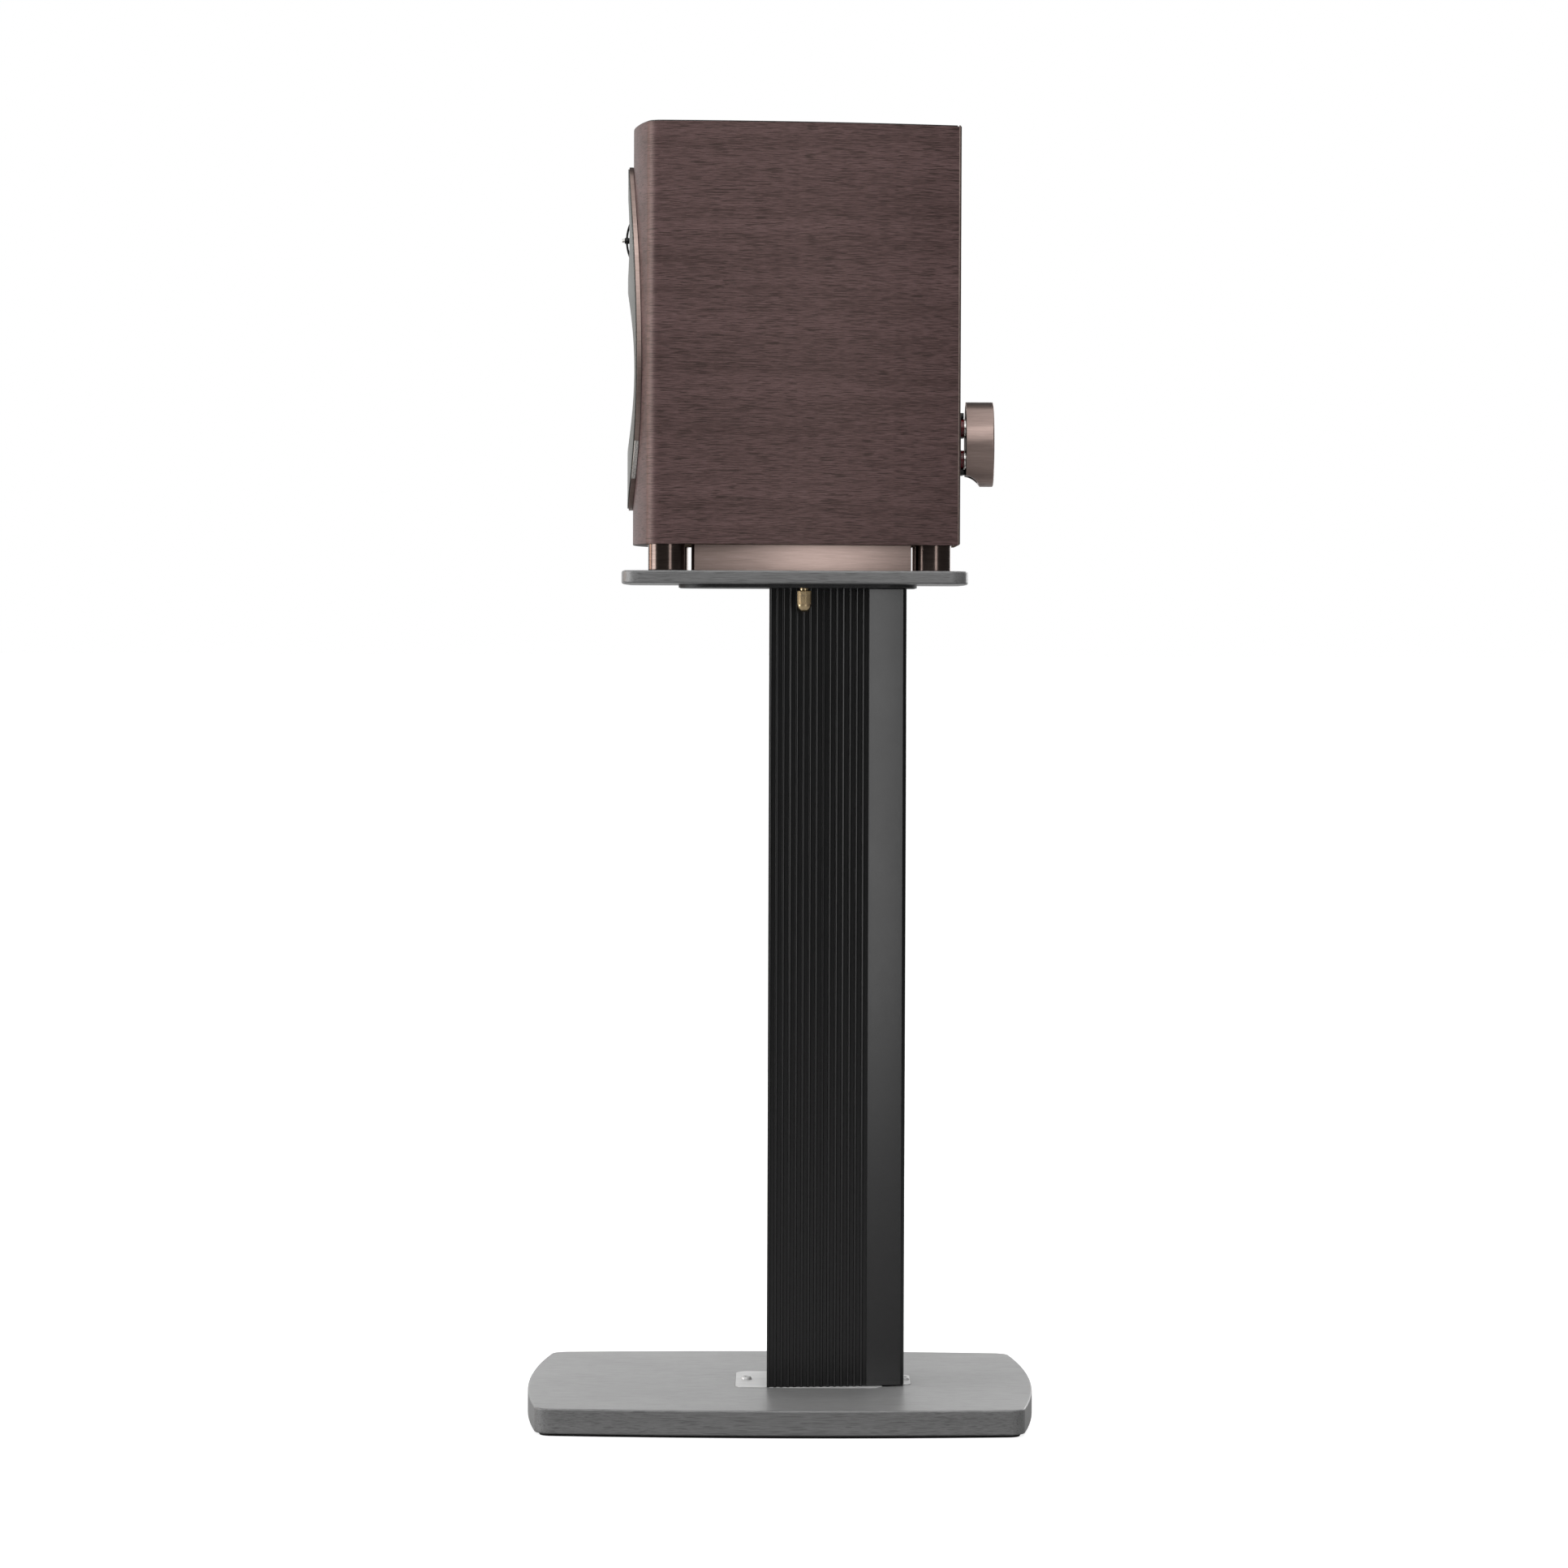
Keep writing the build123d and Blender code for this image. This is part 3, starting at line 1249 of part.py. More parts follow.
COLLAR_Y = (154.7, 157.7)
COLLAR_R = 6.5
KNOB_Y = (158.0, 171.0)
KNOB_R = 7.0
FLUTE_COUNT = 12
FLUTE_R = 1.1
FLUTE_SET_OUT = 0.4
KNOB_EDGE = 0.8
for label, (x, z) in POSTS.items():
    with BuildPart() as post_collar:
        with BuildSketch(Plane.XZ.offset(-COLLAR_Y[0])):
            with Locations((x, z)):
                Circle(COLLAR_R)
                Circle(STEM_R + RUNNING, mode=Mode.SUBTRACT)
        extrude(amount=-(COLLAR_Y[1] - COLLAR_Y[0]))
    save(f"post_collar_{label}", post_collar)
    with BuildPart() as post_knob:
        with BuildSketch(Plane.XZ.offset(-KNOB_Y[0])):
            with Locations((x, z)):
                Circle(KNOB_R)
        extrude(amount=-(KNOB_Y[1] - KNOB_Y[0]))
        chamfer(edges().group_by(Axis.Y)[-1], KNOB_EDGE)
        with BuildSketch(Plane.XZ.offset(-KNOB_Y[0])):
            with Locations((x, z)):
                Circle(STEM_R + RUNNING)
                with PolarLocations(KNOB_R + FLUTE_SET_OUT, FLUTE_COUNT):
                    Circle(FLUTE_R)
        extrude(amount=-(KNOB_Y[1] - KNOB_Y[0]), mode=Mode.SUBTRACT)
    save(f"post_knob_{label}", post_knob)

# ----------------------------------------------------------------- inner wiring
WIRE_R = 1.0
SOLDER_GAP = 0.2
BOARD_FRONT = BOARD_Y - SOLDER_GAP
STEM_END = STEM_Y[0] - SOLDER_GAP
WIRES = [
    # woofer pair, over the port to the top of the basket
    [(-12, BOARD_FRONT, 909), (-12, 90, 911), (-10, 50, 903), (-7, 8, 905)]
    + [(-5, -34, 914), (-4, -62, 917), (-4, -80, 909.4)],
    [(-4, BOARD_FRONT, 909), (-4, 92, 912), (-1, 52, 905), (1, 10, 906)]
    + [(3, -34, 914), (4, -62, 917), (4, -80, 909.4)],
    # tweeter pair, up through the brace's window
    [(4, BOARD_FRONT, 909), (5, 90, 914), (7, 60, 935), (5, 25, 955)]
    + [(-2, -13, 968), (-6, -50, TWEETER_Z)],
    [(12, BOARD_FRONT, 909), (13, 90, 915), (14, 60, 937), (12, 25, 957)]
    + [(9, -15, 969), (6, -52, TWEETER_Z)],
]
UPPER_Z = TERMINAL_Z + POST_DZ
LOWER_Z = TERMINAL_Z - POST_DZ
for side in (1, -1):
    x = side * POST_X
    # upper post, up in a short loop onto the foot of the board
    WIRES.append([(x, STEM_END, UPPER_Z), (x, 102, UPPER_Z), (x, 102, 835)])
    WIRES[-1].append((x, BOARD_FRONT, 835))
    # lower post, outside the upper one
    WIRES.append([(x, STEM_END, LOWER_Z), (side * 15, 101, 794)])
    WIRES[-1] += [(side * 22, 98, 813), (side * 25, 101, 835)]
    WIRES[-1].append((side * 25, BOARD_FRONT, 836))
with BuildPart() as internal_wiring:
    for wire in WIRES:
        tube(wire)
save("internal_wiring", internal_wiring)
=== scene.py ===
import json
from math import cos, pi, radians, sin

import bmesh
import bpy
from bpy.props import (
    FloatProperty,
    FloatVectorProperty,
    IntProperty,
    PointerProperty,
)
from mathutils import Matrix, Quaternion, Vector


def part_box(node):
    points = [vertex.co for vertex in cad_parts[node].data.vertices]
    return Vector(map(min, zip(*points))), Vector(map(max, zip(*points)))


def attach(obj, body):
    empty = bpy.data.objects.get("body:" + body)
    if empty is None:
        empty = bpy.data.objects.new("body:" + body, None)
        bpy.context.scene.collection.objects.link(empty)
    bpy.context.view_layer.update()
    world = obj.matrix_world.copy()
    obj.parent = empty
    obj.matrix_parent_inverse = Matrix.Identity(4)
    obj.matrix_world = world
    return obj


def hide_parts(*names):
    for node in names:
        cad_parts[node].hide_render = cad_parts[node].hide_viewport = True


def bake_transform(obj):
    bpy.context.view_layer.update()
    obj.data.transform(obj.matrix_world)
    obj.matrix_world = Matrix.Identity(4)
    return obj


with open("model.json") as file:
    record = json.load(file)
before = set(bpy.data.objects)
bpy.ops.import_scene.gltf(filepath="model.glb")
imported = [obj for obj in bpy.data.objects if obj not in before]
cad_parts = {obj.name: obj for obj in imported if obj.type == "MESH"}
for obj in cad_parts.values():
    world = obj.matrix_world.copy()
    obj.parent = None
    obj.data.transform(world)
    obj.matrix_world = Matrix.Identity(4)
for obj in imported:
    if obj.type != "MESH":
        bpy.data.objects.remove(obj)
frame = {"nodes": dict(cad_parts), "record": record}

bl_info = {
    "name": "Bookshelf speaker on its stand",
    "version": (1, 0, 0),
    "blender": (4, 5, 0),
    "location": "View3D > Sidebar > Speaker",
    "description": "Finishes a two-way speaker and its floor stand around the packed frame",
    "category": "Object",
}

SLOT_OF = {part["node"]: part["material_slot"] for part in frame["record"]["subparts"]}
MM = 0.001

# Sizes that the frame's boxes don't give
COIL_R = 16.4 * MM
CONE_LIP_R = 49.2 * MM
ROLL_CENTRE_R = 54.35 * MM
WOOFER_SCREW_CIRCLE = 63.2 * MM
TWEETER_SCREW_CIRCLE = 31 * MM
DRIVER_SCREW = (2.5 * MM, 1.5 * MM, 1.7 * MM, 20 * MM)  # head radius and height, shank radius, length
FLANGE_SCREW = (4.4 * MM, 2.4 * MM, 2.5 * MM, 2.4 * MM)
PILLAR_R = 15.15 * MM
PILLARS = ((80, -95.2), (-80, -95.2), (42, 124), (-42, 124))
CLAMP_HEAD_R = 5.8 * MM
CLAMP_SHANK_R = 2.85 * MM
POST_KNOB_R = 7 * MM
POST_BORE_R = 3.05 * MM
PLAIN_LIGHT = (1.0, 1.0, 1.0)
WARM_LIGHT = (1.0, 0.74, 0.6)


def middle(node):
    """Centre of a frame node's box."""
    low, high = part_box(node)
    return (low + high) / 2


def tint(red, green, blue):
    """Linear colour for one read off a screen swatch."""
    def linear(level):
        level /= 255
        return level / 12.92 if level <= 0.04045 else ((level + 0.055) / 1.055) ** 2.4

    return (linear(red), linear(green), linear(blue), 1.0)


# ------------------------------------------------------------------ settings
class SpeakerColours(bpy.types.PropertyGroup):
    """Colours a maker would order the speaker and stand in."""

    veneer_dark: FloatVectorProperty(
        name="Veneer dark", description="Late wood of the veneer", subtype="COLOR",
        size=4, default=tint(51, 35, 36), min=0, max=1)
    veneer_light: FloatVectorProperty(
        name="Veneer light", description="Early wood of the veneer", subtype="COLOR",
        size=4, default=tint(101, 79, 80), min=0, max=1)
    bronze: FloatVectorProperty(
        name="Bronze", description="Anodised metal of the front plate and plinth",
        subtype="COLOR", size=4, default=tint(160, 141, 134), min=0, max=1)
    brass: FloatVectorProperty(
        name="Brass", description="Clamp screws", subtype="COLOR",
        size=4, default=tint(214, 190, 150), min=0, max=1)
    stand_grey: FloatVectorProperty(
        name="Stand grey", description="Stained wood of the stand's plates",
        subtype="COLOR", size=4, default=tint(126, 126, 126), min=0, max=1)
    red_ring: FloatVectorProperty(
        name="Positive red", description="Insulators and rings of the positive posts",
        subtype="COLOR", size=4, default=tint(140, 12, 26), min=0, max=1)


class SpeakerSizes(bpy.types.PropertyGroup):
    """Small sizes that finish the edges and grips."""

    edge: FloatProperty(
        name="Edge", description="How far hard edges are eased", subtype="DISTANCE",
        unit="LENGTH", default=0.6 * MM, min=0.1 * MM, max=2 * MM)
    knurl_pitch: FloatProperty(
        name="Knurl pitch", description="Distance between diamonds on the clamp screws",
        subtype="DISTANCE", unit="LENGTH", default=1.7 * MM, min=0.6 * MM, max=3 * MM)
    knurl_depth: FloatProperty(
        name="Knurl depth", description="Depth of the diamond cuts", subtype="DISTANCE",
        unit="LENGTH", default=0.4 * MM, min=0.05 * MM, max=0.6 * MM)
    flutes: IntProperty(
        name="Flutes", description="Finger flutes round each binding post knob",
        default=18, min=6, max=40)
    steps: IntProperty(
        name="Steps", description="Facets in a full turn of a round piece",
        default=128, min=48, max=256)


class SpeakerStage(bpy.types.PropertyGroup):
    """Camera and lights."""

    camera_distance: FloatProperty(
        name="Camera distance", description="From the camera to the object's middle plane",
        subtype="DISTANCE", unit="LENGTH", default=4.5, min=1, max=20)
    camera_height: FloatProperty(
        name="Camera height", description="Above the floor", subtype="DISTANCE",
        unit="LENGTH", default=0.648, min=0, max=5)
    pitch: FloatProperty(
        name="Pitch", description="Downward tilt of the camera", subtype="ANGLE",
        unit="ROTATION", default=radians(1.6), min=-1, max=1)
    roll: FloatProperty(
        name="Roll", description="Turn of the camera about its own view line",
        subtype="ANGLE", unit="ROTATION", default=0.0035, min=-1, max=1)
    lens: FloatProperty(
        name="Lens", description="Focal length on a 36 mm wide sensor",
        default=123.7, min=20, max=300)
    light: FloatProperty(
        name="Light", description="Strength of all the lights together",
        default=1.0, min=0, max=10)


# ---------------------------------------------------------------- node tools
def add(tree, kind, settings=None, **inputs):
    """A shader node with its settings, and its sockets linked or set."""
    made = tree.nodes.new(kind)
    for key, value in (settings or {}).items():
        setattr(made, key, value)
    for key, value in inputs.items():
        plug(tree, made.inputs[key.replace("_", " ")], value)
    return made


def plug(tree, socket, value):
    """Link a socket to another, or set it to a plain value."""
    if isinstance(value, bpy.types.NodeSocket):
        tree.links.new(value, socket)
    else:
        socket.default_value = value


def maths(tree, operation, first, second=0.0, third=0.0):
    """One arithmetic node's result."""
    made = add(tree, "ShaderNodeMath", {"operation": operation})
    for socket, value in zip(made.inputs, (first, second, third)):
        plug(tree, socket, value)
    return made.outputs[0]


def between(tree, value, low, high, to_low=0.0, to_high=1.0):
    """A value brought from one range to another, held at its ends."""
    return add(tree, "ShaderNodeMapRange", None, Value=value, From_Min=low,
               From_Max=high, To_Min=to_low, To_Max=to_high).outputs[0]


def blend_colours(tree, share, first, second, way="MIX"):
    """Two colours mixed by a share."""
    made = add(tree, "ShaderNodeMix", {"data_type": "RGBA", "blend_type": way})
    plug(tree, made.inputs[0], share)
    plug(tree, made.inputs[6], first)
    plug(tree, made.inputs[7], second)
    return made.outputs[2]


def noise(tree, vector, scale, detail=4.0, rough=0.55, bend=0.0):
    """Fractal noise as a value."""
    return add(tree, "ShaderNodeTexNoise", None, Vector=vector, Scale=scale,
               Detail=detail, Roughness=rough, Distortion=bend).outputs[0]


def new_group(name, inputs, outputs):
    """A shader node group with its sockets, and its two end nodes."""
    group = bpy.data.node_groups.new(name, "ShaderNodeTree")
    for label, kind, start in inputs:
        socket = group.interface.new_socket(
            name=label, in_out="INPUT", socket_type=f"NodeSocket{kind}")
        if start is not None:
            socket.default_value = start
    for label in outputs:
        group.interface.new_socket(
            name=label, in_out="OUTPUT", socket_type="NodeSocketFloat")
    return group, group.nodes.new("NodeGroupInput").outputs, group.nodes.new("NodeGroupOutput").inputs


def grain_group():
    """Long wood grain: a broad figure, fine dark pores and their relief."""
    group, given, out = new_group(
        "Long grain", [("Vector", "Vector", None), ("Scale", "Float", 300.0)],
        ["Pattern", "Accent", "Height"])
    figure = noise(group, given["Vector"], maths(group, "MULTIPLY", given["Scale"], 1.3), 3.0, 0.65)
    wide = noise(group, given["Vector"], maths(group, "MULTIPLY", given["Scale"], 0.06), 2.0)
    mixed = maths(group, "ADD", maths(group, "MULTIPLY", figure, 0.72),
                  maths(group, "MULTIPLY", wide, 0.28))
    dashes = between(group, noise(group, given["Vector"], given["Scale"], 1.0, 0.5), 0.565, 0.63)
    hairs = between(group, noise(group, given["Vector"], maths(
        group, "MULTIPLY", given["Scale"], 2.3), 1.0, 0.5), 0.54, 0.66)
    pores = maths(group, "MAXIMUM", dashes, maths(group, "MULTIPLY", hairs, 0.5))
    plug(group, out["Pattern"], between(group, mixed, 0.36, 0.64))
    plug(group, out["Accent"], pores)
    plug(group, out["Height"], maths(group, "SUBTRACT", maths(group, "MULTIPLY", figure, 0.5), pores))
    return group


def line_group():
    """Fine parallel tool lines on brushed or turned metal."""
    group, given, out = new_group(
        "Tool lines", [("Vector", "Vector", None), ("Scale", "Float", 900.0)],
        ["Pattern", "Accent", "Height"])
    lines = noise(group, given["Vector"], given["Scale"], 8.0, 0.7)
    cloud = noise(group, given["Vector"], maths(group, "MULTIPLY", given["Scale"], 0.06), 3.0, 0.5)
    plug(group, out["Pattern"], between(group, maths(
        group, "ADD", maths(group, "MULTIPLY", lines, 0.7), maths(group, "MULTIPLY", cloud, 0.3)),
        0.36, 0.64))
    plug(group, out["Accent"], between(group, lines, 0.62, 0.74))
    plug(group, out["Height"], lines)
    return group


def speckle_group():
    """Even fine texture of powder coat, moulded plastic, leather and cast parts."""
    group, given, out = new_group(
        "Speckle", [("Vector", "Vector", None), ("Scale", "Float", 1200.0)],
        ["Pattern", "Accent", "Height"])
    cells = add(group, "ShaderNodeTexVoronoi", None, Vector=given["Vector"],
                Scale=given["Scale"]).outputs["Distance"]
    cloud = noise(group, given["Vector"], maths(group, "MULTIPLY", given["Scale"], 0.5), 4.0)
    plug(group, out["Pattern"], between(group, cloud, 0.35, 0.65))
    plug(group, out["Accent"], between(group, cells, 0.55, 0.8))
    plug(group, out["Height"], maths(group, "ADD", maths(group, "MULTIPLY", cells, 0.6),
                                     maths(group, "MULTIPLY", cloud, 0.4)))
    return group


def weave_group():
    """Crossed threads over the X and Z directions."""
    group, given, out = new_group(
        "Weave", [("Vector", "Vector", None), ("Scale", "Float", 3000.0)],
        ["Pattern", "Accent", "Height"])
    split = add(group, "ShaderNodeSeparateXYZ", None, Vector=given["Vector"])
    waves = [maths(group, "SINE", maths(group, "MULTIPLY", split.outputs[axis], given["Scale"]))
             for axis in (0, 2)]
    cross = maths(group, "MULTIPLY", waves[0], waves[1])
    fray = noise(group, given["Vector"], given["Scale"], 3.0)
    plug(group, out["Pattern"], between(group, cross, -0.8, 0.8))
    plug(group, out["Accent"], between(group, fray, 0.55, 0.75))
    plug(group, out["Height"], maths(group, "ADD", cross, maths(group, "MULTIPLY", fray, 0.3)))
    return group


def handling_group():
    """Faint smears from hands and cloths, and dust where a surface faces up."""
    group, given, out = new_group(
        "Handling", [("Vector", "Vector", None), ("Dust", "Float", 0.1)], ["Smear", "Dust"])
    broad = noise(group, given["Vector"], 7.0, 5.0, 0.6, 0.6)
    close = noise(group, given["Vector"], 90.0, 3.0)
    facing = add(group, "ShaderNodeSeparateXYZ", None, Vector=add(
        group, "ShaderNodeNewGeometry").outputs["Normal"]).outputs[2]
    grit = noise(group, given["Vector"], 2600.0, 2.0, 0.7)
    settled = maths(group, "MULTIPLY", between(group, facing, 0.6, 1.0), between(group, grit, 0.5, 0.72))
    plug(group, out["Smear"], between(group, maths(group, "ADD", maths(group, "MULTIPLY", broad, 0.75),
                                                   maths(group, "MULTIPLY", close, 0.25)), 0.3, 0.7))
    plug(group, out["Dust"], maths(group, "MULTIPLY", settled, given["Dust"]))
    return group


PATTERNS = {"grain": grain_group, "lines": line_group, "speckle": speckle_group,
            "weave": weave_group}
GROUPS = {}


def group_named(name):
    """A shared effect, built the first time it is asked for."""
    if name not in GROUPS:
        GROUPS[name] = {**PATTERNS, "handling": handling_group}[name]()
    return GROUPS[name]


DUST = tint(188, 184, 178)


def finish(name, pattern, scale, stretch, dark, light, accent, rough, bump,
           accent_share=0.5, metallic=0.0, coat=0.0, coat_rough=0.1, sheen=0.0,
           dust=0.05, second=None, specular=0.5, shine_tint=(1, 1, 1, 1)):
    """A procedural material from one pattern group, its colours, gloss and relief.

    second is (axis, place, dark, light): past that place on that axis the other colours hold.
    """
    material = bpy.data.materials.new(name)
    material.use_nodes = True
    tree = material.node_tree
    body = tree.nodes["Principled BSDF"]
    place = add(tree, "ShaderNodeTexCoord").outputs["Object"]
    laid = add(tree, "ShaderNodeMapping", None, Vector=place, Scale=stretch).outputs[0]
    texture = add(tree, "ShaderNodeGroup", {"node_tree": group_named(pattern)},
                  Vector=laid, Scale=scale)
    touch = add(tree, "ShaderNodeGroup", {"node_tree": group_named("handling")},
                Vector=place, Dust=dust)
    colour = blend_colours(tree, texture.outputs["Pattern"], dark, light)
    if second:
        axis, edge, other_dark, other_light = second
        side = add(tree, "ShaderNodeSeparateXYZ", None, Vector=place).outputs[axis]
        other = blend_colours(tree, texture.outputs["Pattern"], other_dark, other_light)
        colour = blend_colours(tree, maths(tree, "GREATER_THAN", side, edge), colour, other)
    colour = blend_colours(tree, maths(tree, "MULTIPLY", texture.outputs["Accent"], accent_share),
                           colour, accent)
    colour = blend_colours(tree, touch.outputs["Dust"], colour, DUST)
    plug(tree, body.inputs["Base Color"], colour)
    shine = maths(tree, "ADD", maths(tree, "MULTIPLY", touch.outputs["Smear"], 0.6),
                  maths(tree, "MULTIPLY", texture.outputs["Pattern"], 0.4))
    plug(tree, body.inputs["Roughness"], between(tree, shine, 0.0, 1.0, *rough))
    body.inputs["Metallic"].default_value = metallic
    body.inputs["Coat Weight"].default_value = coat
    body.inputs["Coat Roughness"].default_value = coat_rough
    body.inputs["Sheen Weight"].default_value = sheen
    body.inputs["Specular IOR Level"].default_value = specular
    body.inputs["Specular Tint"].default_value = shine_tint
    strength, depth = bump
    plug(tree, body.inputs["Normal"], add(
        tree, "ShaderNodeBump", None, Strength=strength, Distance=depth,
        Height=texture.outputs["Height"]).outputs[0])
    return material


